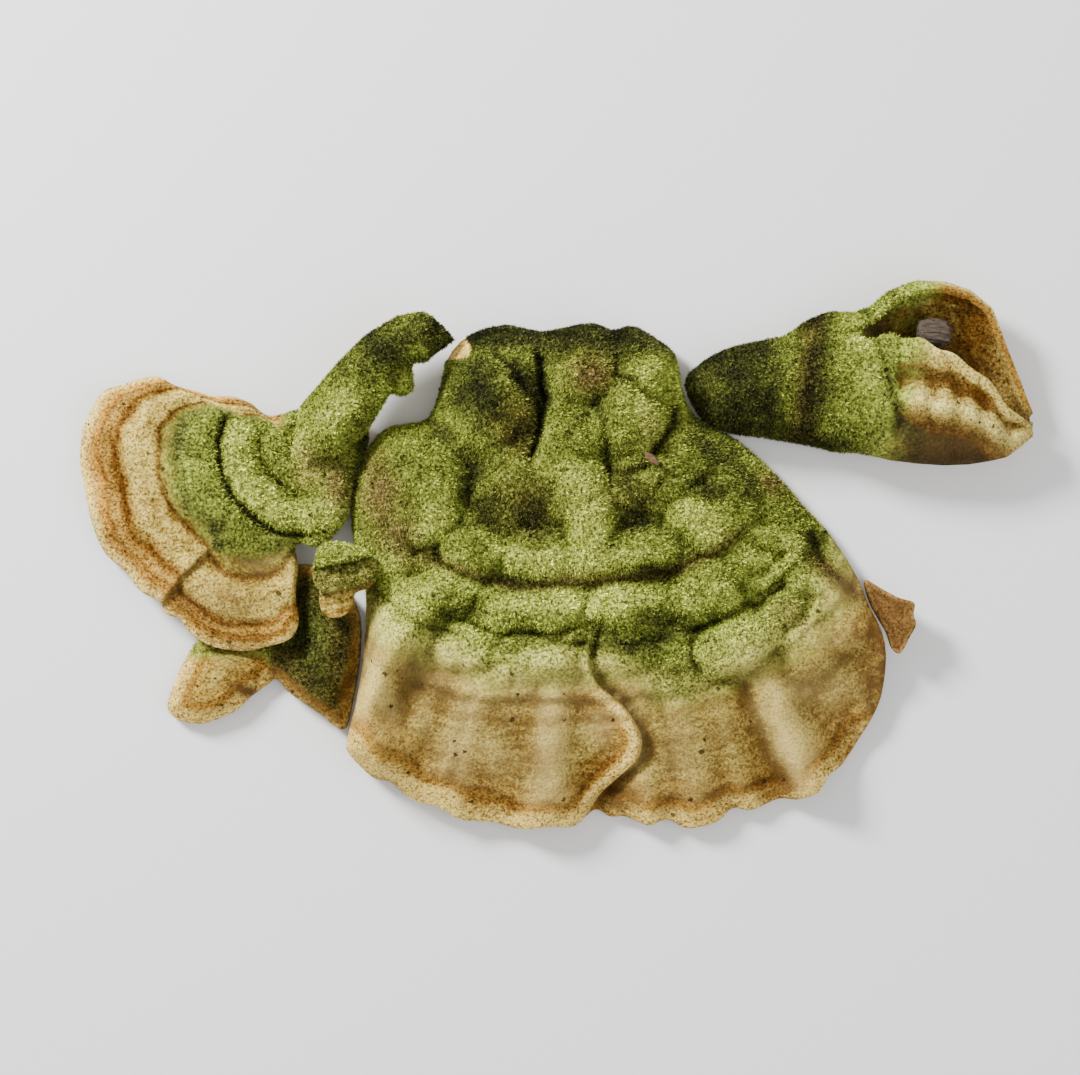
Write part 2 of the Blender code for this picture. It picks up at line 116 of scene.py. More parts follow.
LOWER_LEFT_OUTLINE = (
    (-60, -34.5), (-54, -37), (-48.3, -44), (-47.8, -54), (-49.6, -65), (-51.4, -70), (-56.5, -66.4),
    (-60.3, -63.8), (-63.6, -61.3), (-65.7, -59), (-67.8, -60.5), (-71.3, -63), (-74.1, -65.7),
    (-78.1, -67.6), (-82.5, -68.7), (-86.9, -67.6), (-89.0, -65.1), (-87.4, -59.6), (-84.4, -53.6),
    (-80, -48), (-72, -42), (-65, -37.5),
)
LOWER_RIGHT_OUTLINE = (
    (59.8, -38), (63.5, -39.9), (66.5, -41.6), (69.7, -42.7), (69.6, -45.2), (70.0, -47.4), (69.1, -49.3),
    (66.9, -53.4), (65.1, -52.3), (64, -49), (60.8, -42.8),
)
YOUNG_OUTLINE = (
    (-55.4, -30.8), (-51.6, -30), (-46.2, -31.8), (-44.1, -35.6), (-45.0, -39.2), (-48.4, -40.6),
    (-49.0, -43.0), (-50.6, -45.2), (-53.4, -45.8), (-55.4, -44.4), (-56.0, -41.6), (-55.4, -39.8),
    (-56.8, -38), (-56.6, -34.6),
)

# Swollen lobes of the main fan: x, y, half length, half width, turn in degrees, lift.
MAIN_LOBES = (
    (-20.5, 0.5, 14.5, 10.5, 78, 4.6), (-37.5, -19, 17.5, 12.5, 72, 4.8), (11, -1.5, 12, 9.5, 60, 4.2),
    (0.5, 5.5, 7.4, 6.4, 10, 4.6), (15.5, 7.2, 5.2, 4.8, 0, 4.2), (22.5, -8.5, 9.5, 6.4, -40, 3.0),
    (-4.5, -9.5, 7.5, 6, 0, 3.4), (-13, -17.5, 9.5, 11, 0, 3.0), (-3.5, -18.5, 9, 7, 10, 4.2),
    (13.5, -17.5, 9.5, 6.5, 8, 3.6), (24.5, -25, 9.5, 6.5, -32, 3.8), (33.5, -19, 9.5, 6, -45, 2.4),
    (42.5, -26, 10, 4.6, -52, 3.2), (51.5, -38, 10, 4.2, -62, 3.2), (-24, -31.5, 7.5, 5.6, -12, 3.4),
    (-9.5, -31.5, 8, 6.5, 0, 2.6), (1, -26.5, 6, 10.5, 0, 3.7), (11, -32, 9.5, 5, 8, 3.0),
    (33.5, -31.5, 8.5, 5.5, 28, 2.6), (44, -37, 6.5, 5, 40, 2.2), (-29.5, -42, 7, 4.6, -6, 3.0),
    (-12.5, -43.5, 11.5, 5.2, 0, 3.2), (9, -43, 9.5, 5.4, 6, 3.2), (25.5, -39.5, 9, 6.4, 24, 3.6),
    (40, -44, 7.5, 5, 40, 1.8), (-39.5, -48, 8.5, 7, 80, 3.0), (-26.5, -52, 7.5, 5, -8, 2.4),
    (-11, -54.5, 9, 5, 0, 2.6), (7.5, -53.5, 8, 4.6, 8, 1.8), (19.5, -52, 6, 4.6, 16, 1.6),
    (32.5, -50.5, 9.5, 7, 26, 4.0), (48, -52, 8.5, 6.5, 40, 2.6), (54.5, -47, 6.5, 7, 20, 2.6),
    (-7, 14, 13, 6, 0, 3.0), (-26, 9, 6, 5, 40, 2.2),
)
# Radial pleats of the main fan: angle from -Y in degrees, half width in degrees, height at the margin.
MAIN_PLEATS = (
    (-31.6, 3.2, 5.0), (-17.6, 3.4, 2.8), (-5.2, 3.0, 3.5), (6.8, 2.4, 2.0), (13, 3.4, 1.5),
    (26.6, 2.7, 5.6), (36, 2.6, 1.0), (43.5, 4.0, 4.3), (54, 4, 2.8), (-23.5, 1.6, 0.9), (-12, 1.8, 0.7),
    (18.5, 1.6, 0.9),
)
# Creases between the lobes of the main fan: the line each one follows, its width and its depth.
MAIN_CREASES = (
    (((-19, 10), (-15, 5.5), (-11.2, 0.8), (-9.4, -3.2), (-9.8, -7.6), (-11.2, -12)), 1.2, 3.0),
    (((-9.6, 9), (-9.2, 3), (-8.6, -2.5)), 1.6, 3.2),
    (((-32.3, -4.4), (-26, -10.7), (-22.9, -15), (-25.4, -20.8)), 2.0, 1.4),
    (((1.7, 0), (3.6, -4.4), (4.2, -9.5), (4.8, -15)), 0.9, 1.5),
    (((19, -2.5), (18, -5), (15.5, -9), (13.4, -12)), 1.1, 2.6),
    (((4.8, -15), (8, -15.6), (13, -14)), 0.9, 1.7),
    (((6, 4.4), (9.9, 3.8), (13, 0), (18, -1.9)), 0.9, 1.5),
    (((5.6, 12), (6.6, 8), (6, 4.4)), 1.0, 1.8),
    (((-36, -32), (-32.3, -30.9), (-29.8, -33.4), (-28, -35)), 0.9, 1.5),
    (((-34.2, -41.6), (-31.7, -43.5), (-25.4, -46), (-22.9, -41.5)), 0.9, 1.6),
    (((-23.5, -46.6), (-17.9, -49.4), (-9, -49.1), (-2.7, -47.9), (2.4, -46)), 0.8, 1.2),
    (((24.8, -47.6), (21.4, -51.7), (23.7, -56.7), (26.3, -59.9), (31.3, -59.4), (40, -52.5)), 0.9, 1.5),
    (((31.9, -39), (35, -44), (38, -42.2), (41.4, -38.4)), 0.9, 1.6),
    (((4.5, -41), (3.4, -46), (2.2, -50), (1.6, -55)), 0.8, 1.3),
    (((28, -25.8), (33.8, -29.6), (41.4, -33.4)), 1.0, 0.9),
    (((21, -9), (27, -15), (36, -21.5), (43, -28)), 1.6, 0.6),
    (((47.5, -28.8), (49.7, -33.8), (54, -37.6), (58.6, -41)), 1.5, 2.6),
    (((33, -60), (36.2, -68), (40, -76), (43, -81.5)), 1.5, 1.6),
    (((-36.4, -53), (-37.4, -60), (-38.4, -68)), 1.5, 0.8),
    (((-39.5, -62.6), (-41.6, -66), (-42.8, -68.7)), 0.35, 0.7),
    (((-40.2, -70.6), (-41, -73.6), (-42.8, -76.6)), 0.35, 0.7),
    (((15.6, -60), (17.2, -70), (19, -80)), 1.0, 0.5),
    (((-21, -54), (-25, -66), (-28, -80)), 1.2, 0.6),
)
# Brown patches, most of them weathering and some painted shade in valleys: x, y, half length, half width,
# turn, strength.
BROWN_PATCHES = (
    (-42.5, -20, 10, 4.6, 105, 0.95), (-39, -29, 7, 4, 120, 0.85), (-13, -21, 8, 8, 0, 0.45),
    (0.6, 5, 5.2, 4.4, 0, 1.0), (-15, -6, 4, 6, 0, 0.75), (40, -17, 3.6, 2.6, -50, 0.9),
    (14, -8, 4, 5, 0, 0.35), (52, -36.5, 8, 3, -40, 0.95), (9, -20, 7, 5, 0, 0.35),
    (46, -47, 7, 4, -30, 0.75), (-32, -33, 4, 2, 0, 0.7), (56, -52, 5, 6, 0, 0.55),
    (51, -49, 5, 3.4, 20, 0.5), (55, -66, 5, 9, -20, 0.55), (60, -57, 3.5, 9, 8, 0.8),
    (39, -75, 8, 2.6, -64, 0.85), (7, -84, 6.5, 3, 15, 0.95), (7.4, -71.5, 3.2, 4.6, -20, 0.2),
    (-11.5, -77, 4.5, 6, -8, 0.85), (20, -71, 6, 9, 0, 0.55), (-33, -70, 4, 7, 20, 0.6),
    (32, -67, 4, 7, -60, 0.7), (24, -60, 5, 3, -60, 0.6), (16, -57.5, 7, 2.6, 0, 0.5),
    (-42, -73, 2.4, 5, 20, 0.4), (-3, -38, 8, 1.5, 4, 0.8), (-10, -62, 10, 2, 5, 0.3),
    (28, -83.5, 18, 2.4, 6, 0.55),
)
# Dark patches, partly painted shade in crevices and along the ring furrows, partly darker colour: x, y, half
# length, half width, turn, strength.
DARK_PATCHES = (
    (-21, 2, 8, 9, 0, 0.85), (-13, 3, 3.6, 8, 25, 0.85), (-14, -7, 4, 5, 0, 0.6),
    (-10.5, -24.5, 5.5, 5, 0, 0.75), (-21, -23, 5, 5, 0, 0.45), (11, -24, 5.5, 4, 10, 0.6),
    (27, -10, 7, 4, -40, 0.65), (34.5, -18.5, 7, 4, -45, 0.6), (24, -18, 6, 3.6, -35, 0.6),
    (43, -27, 6, 3, -50, 0.25), (11.5, -52, 9, 2.4, 4, 0.7), (-4, 14, 26, 5, 0, 0.95),
    (-17, -37.4, 7, 1.6, -8, 0.8), (14, -35.4, 8, 1.8, 8, 0.75), (8, -18, 5, 3, 0, 0.4),
    (15, -46, 9, 4, 6, 0.6), (-28, -45, 5, 2.4, 0, 0.5), (-4, -6.5, 4, 3, 0, 0.3), (-48, -8, 6, 3, 60, 0.3),
    (-30, 3, 3, 5, 0, 0.5), (50, -35, 7, 3, -42, 0.6), (18.5, -58, 6, 3, 0, 0.35),
    (-11, -45, 9, 2.4, 0, 0.25), (0, 9, 8, 2, 0, 0.5), (0.6, 5, 5, 4.2, 0, 0.35),
)
PALE_PATCHES = (
    (0.5, -25, 4.6, 10, 0, 1.0), (-31.7, -24.5, 3.4, 5, -25, 0.95), (23.5, -25.5, 6.5, 3.6, -22, 0.95),
    (-3, -33.4, 13, 3.6, 0, 1.3), (0, -42.8, 16, 3.6, 0, 1.3), (41, -29, 9, 4, -50, 0.5),
    (-37.5, -41, 6.4, 8, 20, 0.9), (31.5, -52.5, 8, 6, 24, 1.0), (-27, -36.5, 8, 3, -12, 0.8),
    (-24, -50, 9, 4, 0, 0.65), (-8, -54, 11, 4, 0, 0.7), (36, -33, 7, 4, -30, 0.6),
    (21, -42, 8, 3.4, 14, 0.55), (-16, -31.5, 5, 2.6, 0, 0.5), (13, -3, 4.5, 6, 30, 0.35),
    (15, 6.5, 4, 3, 0, 0.45), (35, -41, 5, 3, 20, 0.6), (-42, -46, 4, 7, 0, 0.8),
    (42.4, -73, 12, 2.6, -64, 1.4), (-43, -60, 3.4, 10, 8, 0.9), (-20, -74, 5, 7, 30, 0.45),
    (-7, -70, 4.5, 8, -20, 0.6), (3.5, -68, 4, 5, -30, 0.7), (20, -74, 5, 8, 0, 0.5),
    (46, -60, 7, 5, 20, 0.6), (54, -50, 4, 4, 0, 0.5), (52, -60, 5, 7, 10, 0.5), (-34, -66, 3, 8, 12, 0.4),
)
# Rings about the left fan's furrow, and zones by their share of the way out: place, half width and height.
LEFT_RINGS = ((-4.2, 3.4, 2.2), (0, 0.8, -2.0), (3.0, 2.2, 0.7), (8.6, 1.0, -0.4), (-8.4, 1.0, -0.7))
LEFT_STEPS = (
    (0.50, 0.05, 0.5), (0.625, 0.014, -0.7), (0.72, 0.04, 0.4), (0.82, 0.018, -0.5), (0.90, 0.03, 0.5),
    (0.965, 0.015, 0.3),
)
HASH_FACTORS = (73856093, 19349663, 83492791, 15485863)
HASH_LIMIT = 0x7FFFFFFF


# ---- numeric helpers ---------------------------------------------------------------------------------
def smoothstep(low, high, value):
    t = np.clip((value - low) / (high - low), 0, 1)
    return t * t * (3 - 2 * t)


def rise(distance, width):
    """1 where the distance is 0, fading smoothly to 0 on either side."""
    return np.exp(-((distance / width) ** 2))


def mound(x, y, half_x, half_y):
    """1 in the middle, fading smoothly to 0 all round."""
    return np.exp(-((x / half_x) ** 2 + (y / half_y) ** 2))


def most(*fields):
    """The largest of the fields at each point."""
    return np.maximum.reduce(fields)


def hashed(i, j, layer, seed):
    """A repeatable number from 0 to 1 for each lattice point."""
    by_i, by_j, by_layer, by_seed = HASH_FACTORS
    n = i.astype(np.int64) * by_i ^ j.astype(np.int64) * by_j ^ layer * by_layer ^ seed * by_seed
    n = (n ^ (n >> 13)) & HASH_LIMIT
    n = (n * (n * n * 15731 + 789221) + 1376312589) & HASH_LIMIT
    return n / HASH_LIMIT


def wander(x, y, size, seed):
    """Smooth noise about 0, from -1 to 1, whose features are about size across, and half that."""
    total, weight, norm = np.zeros(np.shape(x)), 1.0, 0.0
    for octave in (0, 1):
        u, v = x / size + 17.3 * octave, y / size - 9.1 * octave
        i, j = np.floor(u), np.floor(v)
        s, t = u - i, v - j
        s, t = s * s * (3 - 2 * s), t * t * (3 - 2 * t)
        corner = [hashed(i + a, j + b, 0, seed + octave) for a, b in ((0, 0), (1, 0), (0, 1), (1, 1))]
        value = (corner[0] * (1 - s) + corner[1] * s) * (1 - t) + (corner[2] * (1 - s) + corner[3] * s) * t
        total += weight * (2 * value - 1)
        norm, weight, size = norm + weight, weight * 0.5, size * 0.5
    return total / norm


def cushions(x, y, size, seed):
    """Swollen cells about size across: 0 along the creases between them, 1 on top."""
    u, v = x / size, y / size
    i, j = np.floor(u), np.floor(v)
    first, second = np.full(np.shape(x), 9.0), np.full(np.shape(x), 9.0)
    for a in (-1, 0, 1):
        for b in (-1, 0, 1):
            du = i + a + 0.15 + 0.7 * hashed(i + a, j + b, 0, seed) - u
            dv = j + b + 0.15 + 0.7 * hashed(i + a, j + b, 1, seed) - v
            d = np.hypot(du, dv)
            second = np.minimum(second, np.maximum(first, d))
            first = np.minimum(first, d)
    return 1 - (1 - np.clip((second - first) / 0.55, 0, 1)) ** 2


def closed_curve(points, count):
    """count points, evenly spaced along the smooth closed curve through the given ones."""
    p = np.array(points, float)
    t = np.linspace(0, 1, 24, endpoint=False)[:, None, None]
    before, start, end, after = np.roll(p, 1, 0), p, np.roll(p, -1, 0), np.roll(p, -2, 0)
    curve = 0.5 * (
        2 * start + (end - before) * t + (2 * before - 5 * start + 4 * end - after) * t**2
        + (3 * start - before - 3 * end + after) * t**3
    )
    dense = curve.transpose(1, 0, 2).reshape(-1, 2)
    dense = np.vstack([dense, dense[:1]])
    run = np.concatenate([[0], np.cumsum(np.hypot(*np.diff(dense, axis=0).T))])
    at = np.linspace(0, run[-1], count, endpoint=False)
    return np.stack([np.interp(at, run, dense[:, 0]), np.interp(at, run, dense[:, 1])], 1)


def ring_of(outline, count=200):
    curve = closed_curve(outline, count)
    return np.vstack([curve, curve[:1]])


def distance_to(path, x, y):
    """Distance from each point to a line of points."""
    nearest = np.full(np.shape(x), 1e9)
    for (ax, ay), (bx, by) in zip(path[:-1], path[1:]):
        length2 = (bx - ax) ** 2 + (by - ay) ** 2 + 1e-12
        t = np.clip(((x - ax) * (bx - ax) + (y - ay) * (by - ay)) / length2, 0, 1)
        nearest = np.minimum(nearest, np.hypot(x - ax - t * (bx - ax), y - ay - t * (by - ay)))
    return nearest


def turned(x, y, degrees):
    """The same place measured along and across a direction, turned from +X."""
    c, s = math.cos(math.radians(degrees)), math.sin(math.radians(degrees))
    return x * c + y * s, y * c - x * s


def jogged(x, y, shift, size, seed):
    """The same places, pushed about a little, so that what is drawn there gets ragged edges."""
    return x + shift * wander(x, y, size, seed), y + shift * wander(x, y, size, seed + 1)


def patches(spots, x, y, warp=1.5):
    """Soft patches, with ragged edges."""
    x, y = jogged(x, y, warp, 5, 3)
    total = np.zeros(np.shape(x))
    for cx, cy, length, width, turn, strength in spots:
        along, across = turned(x - cx, y - cy, turn)
        fade = np.exp(-((along / length) ** 2 + (across / width) ** 2) * 1.1)
        total = np.maximum(total, strength * fade)
    return total


def swollen(lobes, x, y):
    """Height of the swollen lobes, round on top with a crease where two of them meet."""
    x, y = jogged(x, y, 1.2, 7, 11)
    height = np.zeros(np.shape(x))
    for cx, cy, length, width, turn, lift in lobes:
        along, across = turned(x - cx, y - cy, turn)
        inside = np.clip(1 - (along / length) ** 2 - (across / width) ** 2, 0, 1)
        height = np.maximum(height, lift * inside**0.62)
    return height


def creased(lines, x, y):
    """Depth of the narrow creases."""
    x, y = jogged(x, y, 0.7, 3.2, 41)
    return most(*(full * rise(distance_to(path, x, y), width) for path, width, full in lines))


def polar(centre, x, y):
    """Distance from a growth centre, and the angle from -Y in degrees."""
    across, down = x - centre[0], centre[1] - y
    return np.hypot(across, y - centre[1]), np.degrees(np.arctan2(across, down))


def main_ring(x, y):
    """The main fan's zones: distance out from its growth centre, bent where the arcs bulge, and the angle."""
    ring, angle = polar(GROWTH_CENTRE, x, y)
    ring = ring - 3.2 * smoothstep(-5, -20, angle) - 1.8 * smoothstep(-20, -34, angle)
    return ring + 0.9 * wander(x, y, 9, 21), angle


def pleat_angle(angle, x, y):
    """The angle along which the main fan's pleats run, a little wavy."""
    return angle + 0.9 * wander(x, y, 14, 25)


# ---- the surfaces of the fans ------------------------------------------------------------------------
MAIN_EDGE = ring_of(MAIN_OUTLINE)
LEFT_EDGE = ring_of(LEFT_OUTLINE)
FREE_EDGE = np.array(FRONT_LOBE_OUTLINE[2:16], float)  # of the front left lobe


def right_of_free_edge(x, y):
    """How far to the right of the front left lobe's free edge a point is."""
    return x - np.interp(y, FREE_EDGE[::-1, 1], FREE_EDGE[::-1, 0])


def main_surface(x, y, front):
    """Top and underside of the main fan, or of its front left lobe."""
    d = distance_to(MAIN_EDGE, x, y)
    ring, angle = main_ring(x, y)
    angle = pleat_angle(angle, x, y)
    softness = 3.2 + 22 * smoothstep(-2, -46, y) * smoothstep(-49, -30, x + 0.16 * (y + 45))
    folds = sum(lift * rise(angle - at, width) for at, width, lift in MAIN_PLEATS)
    folds = folds * smoothstep(-25, -45, y)
    near_edge = rise(d, 30)
    inland = 1 - np.exp(-d / 4)
    top = RIM + folds * near_edge + 13.2 * (1 - np.exp(-d / softness))
    for at, drop in ((52.6, 1.5), (65.4, 1.2), (78.0, 0.9)):
        top += drop * (1 - smoothstep(at - 0.9, at + 0.6, ring)) * inland
        top -= 0.2 * rise(ring - at - 0.8, 0.7) * inland
    top += (swollen(MAIN_LOBES, x, y) - creased(MAIN_CREASES, x, y)) * inland
    green = 1 - smoothstep(70, 84, ring)
    pillows = 0.7 * (cushions(x, y, 5.2, 5) - 0.4) * green
    top += (pillows + 0.45 * wander(x, y, 2.4, 31) * (0.25 + 0.75 * green)) * inland
    rim_groove = rise(d - 5.2 - 0.8 * wander(x, y, 8, 37), 0.9)
    top += 0.12 * wander(x, y, 1.1, 33) - 0.4 * rim_groove * smoothstep(-60, -75, y)
    fibres = smoothstep(0.15, 0.0, np.abs(wander(angle * 2.2, ring * 0.06, 1, 35)))
    top -= 0.35 * fibres * smoothstep(70, 90, ring)
    if front:
        free = distance_to(FREE_EDGE, x, y)
        bead = 0.8 * rise(free - 1.4, 1.5) * smoothstep(-52, -62, y)
        top += 1.0 * smoothstep(-44, -56, y) + bead - 0.9 * np.exp(-free / 0.5)
        thick = RIM + 0.3 * np.minimum(free, 16) + 0.2 * np.minimum(d, 10)
        return np.clip(top, LOWEST_TOP, HIGHEST_TOP), np.maximum(top - thick, 0)
    under_front = smoothstep(-46, -56, y) * smoothstep(5, -1, right_of_free_edge(x, y))
    top -= 3.3 * under_front * smoothstep(-2, 6, d)
    cx, cy, half_x, half_y = CUT_FACE
    off_cut = smoothstep(1.0, 1.5, np.hypot((x - cx) / half_x, (y - cy) / half_y))
    under = np.minimum(top - RIM, (3 + folds * near_edge) * off_cut)
    return np.clip(top, LOWEST_TOP, HIGHEST_TOP), np.maximum(under, 0)


def left_fold(x, y):
    """How far outside the fold that bounds the left fan's lower lobe a point is."""
    return (x + 83.5) * 0.76 - (y + 36) * 0.65 + 0.7 * wander(x, y, 5, 53)


def left_share(x, y):
    """How far out a point of the left fan is, from 0 at its growth centre to 1 at its margin, and how far
    it is on the lower lobe, which has zones of its own."""
    radius, angle = polar(LEFT_CENTRE, x, y)
    edge_x, edge_y = LEFT_EDGE.T
    edge_radius, edge_angle = polar(LEFT_CENTRE, edge_x[:-1], edge_y[:-1])
    order = np.argsort(edge_angle)
    reach = np.interp(angle, edge_angle[order], edge_radius[order], period=360)
    growing = smoothstep(20, 4, angle) + smoothstep(140, 165, angle)
    reach = reach * growing + np.maximum(reach, 44) * (1 - growing)
    lower = smoothstep(-0.5, 0.5, left_fold(x, y)) * smoothstep(-26.5, -29, y)
    lower_margin = LEFT_EDGE[(edge_y < -33) & ((edge_x < -63) | (edge_y < -47))]
    core = np.hypot((x + 71) / 24.8, (y + 25) / 28)
    near = np.interp(core, (0, 0.43, 0.7, 0.85, 1), (0.35, 0.62, 0.75, 0.87, 1))
    near = np.maximum(near, 0.99 - 0.035 * distance_to(lower_margin, x, y))
    return radius / reach * (1 - lower) + near * lower, lower * smoothstep(-62, -70, x)


def wavy_share(x, y):
    """The share and the lower lobe of left_share, with the zones' lines a little wavy."""
    share, lower = left_share(x, y)
    return share + 0.012 * wander(x, y, 6, 51), lower


def left_rings(x, y):
    """How far outside the left fan's deep furrow a point is, and how much of the rings about it shows."""
    radius, angle = polar(LEFT_CENTRE, x, y)
    at = 17.2 + 1.1 * smoothstep(-50, -10, angle) + 0.5 * wander(x, y, 6, 52)
    return radius - at, smoothstep(16, 4, angle) * smoothstep(-124, -104, angle)


def left_surface(x, y):
    """Top and underside of the left fan."""
    growing = LEFT_EDGE[LEFT_EDGE[:, 0] < -60.2]
    d, inner = distance_to(growing, x, y), distance_to(LEFT_EDGE, x, y)
    share, lower = wavy_share(x, y)
    lift = 2.6 + 1.0 * np.sin(x * 0.22 + y * 0.31) + 3.9 * smoothstep(-31, -42, y)
    dome = lift + RIM + 7.6 * (1 - np.exp(-d / 14))
    inner_ring, arcs = left_rings(x, y)
    for at, width, height in LEFT_RINGS:
        dome += height * rise(inner_ring - at, width) * arcs
    for at, width, height in LEFT_STEPS:
        dome += height * rise(share - at, width) * smoothstep(-54, -60, x)
    sag = -1.9 * lower * smoothstep(-29, -36, y)
    dome += sag + 1.5 * mound(x + 56, y + 22, 5, 7) - 1.0 * mound(x + 53.4, y + 15, 2, 6)
    dome += 0.3 * wander(x, y, 3, 55) + 0.55 * (cushions(x, y, 4.2, 57) - 0.4) * smoothstep(0.46, 0.34, share)
    ridge = smoothstep(-62, -56, x)
    floor = lift + 0.5 * RIM + 2.5 * ridge
    top = floor + (dome + 1.2 * ridge - floor) * (1 - np.exp(-inner / (0.25 + 1.6 * ridge)))
    return np.minimum(top, 17), np.maximum(top - np.minimum(RIM + 0.27 * d, 10), 1.2)


def right_surface(x, y):
    """Top and underside of the closed end of the right fan."""
    d = distance_to(ring_of(RIGHT_OUTLINE), x, y)
    top = 5.0 + 9.4 * (1 - np.exp(-d / 3.6)) - 2.2 * smoothstep(57, 64, x)
    top += 1.0 * rise(x - 34, 6) - 0.8 * rise(x - 43 - 0.2 * y, 2.2)
    return top, np.maximum(top - (RIM + 1.6 * d), 2.0)


def lower_left_surface(x, y):
    d = distance_to(ring_of(LOWER_LEFT_OUTLINE, 120), x, y)
    covered = smoothstep(-56, -51, y) * smoothstep(-58, -60, x)
    top = RIM + 3.3 * (1 - np.exp(-d / 5)) * (1 - covered) + 0.7 * covered * smoothstep(0, 3, d)
    top += swollen(((-79, -60, 10, 7.5, 35, 1.7), (-57, -58, 11, 6, 60, 1.6)), x, y) * (1 - covered)
    top += 0.2 * wander(x, y, 2.6, 61)
    return top, np.maximum(np.minimum(top - RIM, 1.6), 0)


def lower_right_surface(x, y):
    outward = smoothstep(60, 70, x)
    top = 2.6 + 5.6 * outward + 0.4 * np.sin(0.9 * y) * outward
    return top, top - 1.5


def young_slope(x, y):
    """The line along which the young fan's tiers step up."""
    return y - 0.2 * (x + 51) + 0.4 * wander(x, y, 3, 71)


def young_surface(x, y):
    d = distance_to(ring_of(YOUNG_OUTLINE, 90), x, y)
    slope = young_slope(x, y)
    tiers = 11.0 + 2.0 * smoothstep(-40.2, -39.5, slope) + 2.0 * smoothstep(-34.4, -33.6, slope)
    tiers += 0.8 * cushions(x, y, 3.0, 73) - 1.4 * smoothstep(-51, -47, x) * smoothstep(-38, -41, y)
    tiers -= 0.5 * rise(slope + 42.4, 0.4)
    return np.minimum(tiers + 1.5 * (1 - np.exp(-d / 1.0)) - 1.2, 16), tiers - 4.2 - 1.6 * smoothstep(0, 3, d)


# ---- mesh helpers ------------------------------------------------------------------------------------
def linked(name, data):
    made = bpy.data.objects.new(name, data)
    bpy.context.scene.collection.objects.link(made)
    return made


def mesh_object(name, shape):
    """An object with the finished shape. A closed one has its faces turned outward."""
    if shape.calc_volume(signed=True) < 0:
        bmesh.ops.reverse_faces(shape, faces=shape.faces)
    return plain_object(name, shape)


def plain_object(name, shape):
    mesh = bpy.data.meshes.new(name)
    shape.to_mesh(mesh)
    shape.free()
    return linked(name, mesh)


def unit_sphere(segments, rings):
    shape = bmesh.new()
    bmesh.ops.create_uvsphere(shape, u_segments=segments, v_segments=rings, radius=1)
    return shape, np.array([v.co for v in shape.verts])


def put(shape, places):
    for vert, place in zip(shape.verts, places):
        vert.co = place


def moulded(name, outline, heart, surfaces, segments, rings):
    """A sphere moulded into a bracket: its equator becomes the outline, its halves the top and underside."""
    shape, co = unit_sphere(segments, rings)
    latitude = np.arcsin(np.clip(co[:, 2], -1, 1)) / (math.pi / 2)
    reach = 1 - np.abs(latitude) ** 1.6
    reach[np.abs(latitude) > 0.9999] = 0
    edge = closed_curve(outline, segments)
    if np.sum(edge[:, 0] * np.roll(edge[:, 1], -1) - edge[:, 1] * np.roll(edge[:, 0], -1)) < 0:
        edge = edge[::-1]
    around = np.degrees(np.arctan2(co[:, 1], co[:, 0])) / 360 * segments
    at = edge[np.round(around).astype(int) % segments]
    x, y = (np.array(heart) + reach[:, None] * (at - heart)).T
    top, under = surfaces(x, y)
    under = np.minimum(under, top - 0.3)
    z = np.where(latitude > 1e-6, top, np.where(latitude < -1e-6, under, (top + under) / 2))
    put(shape, np.stack([x, y, z], 1))
    return mesh_object(name, shape)


def swept(name, stations, segments=28, rings=40):
    """A sphere drawn out along a line of stations, each with its own half width, lowest and highest z."""
    shape, co = unit_sphere(segments, rings)
    table = np.array(stations, float)
    index = np.arange(len(table))
    run = np.arccos(np.clip(-co[:, 2], -1, 1)) / math.pi * (len(table) - 1)
    x, y, half, low, high = (np.interp(run, index, column) for column in table.T)
    turns = np.unwrap(np.arctan2(np.gradient(table[:, 1]), np.gradient(table[:, 0])))
    heading = np.interp(run, index, turns)
    swell = np.minimum(1, np.sqrt(np.clip(1 - co[:, 2] ** 2, 0, 1)) * 1.9)
    ring = np.maximum(np.hypot(co[:, 0], co[:, 1]), 1e-9)
    across, upward = co[:, 0] / ring * swell, co[:, 1] / ring * swell
    x, y = x - np.sin(heading) * across * half, y + np.cos(heading) * across * half
    z = (low + high) / 2 + upward * (high - low) / 2
    put(shape, np.stack([x, y, z], 1))
    return mesh_object(name, shape)


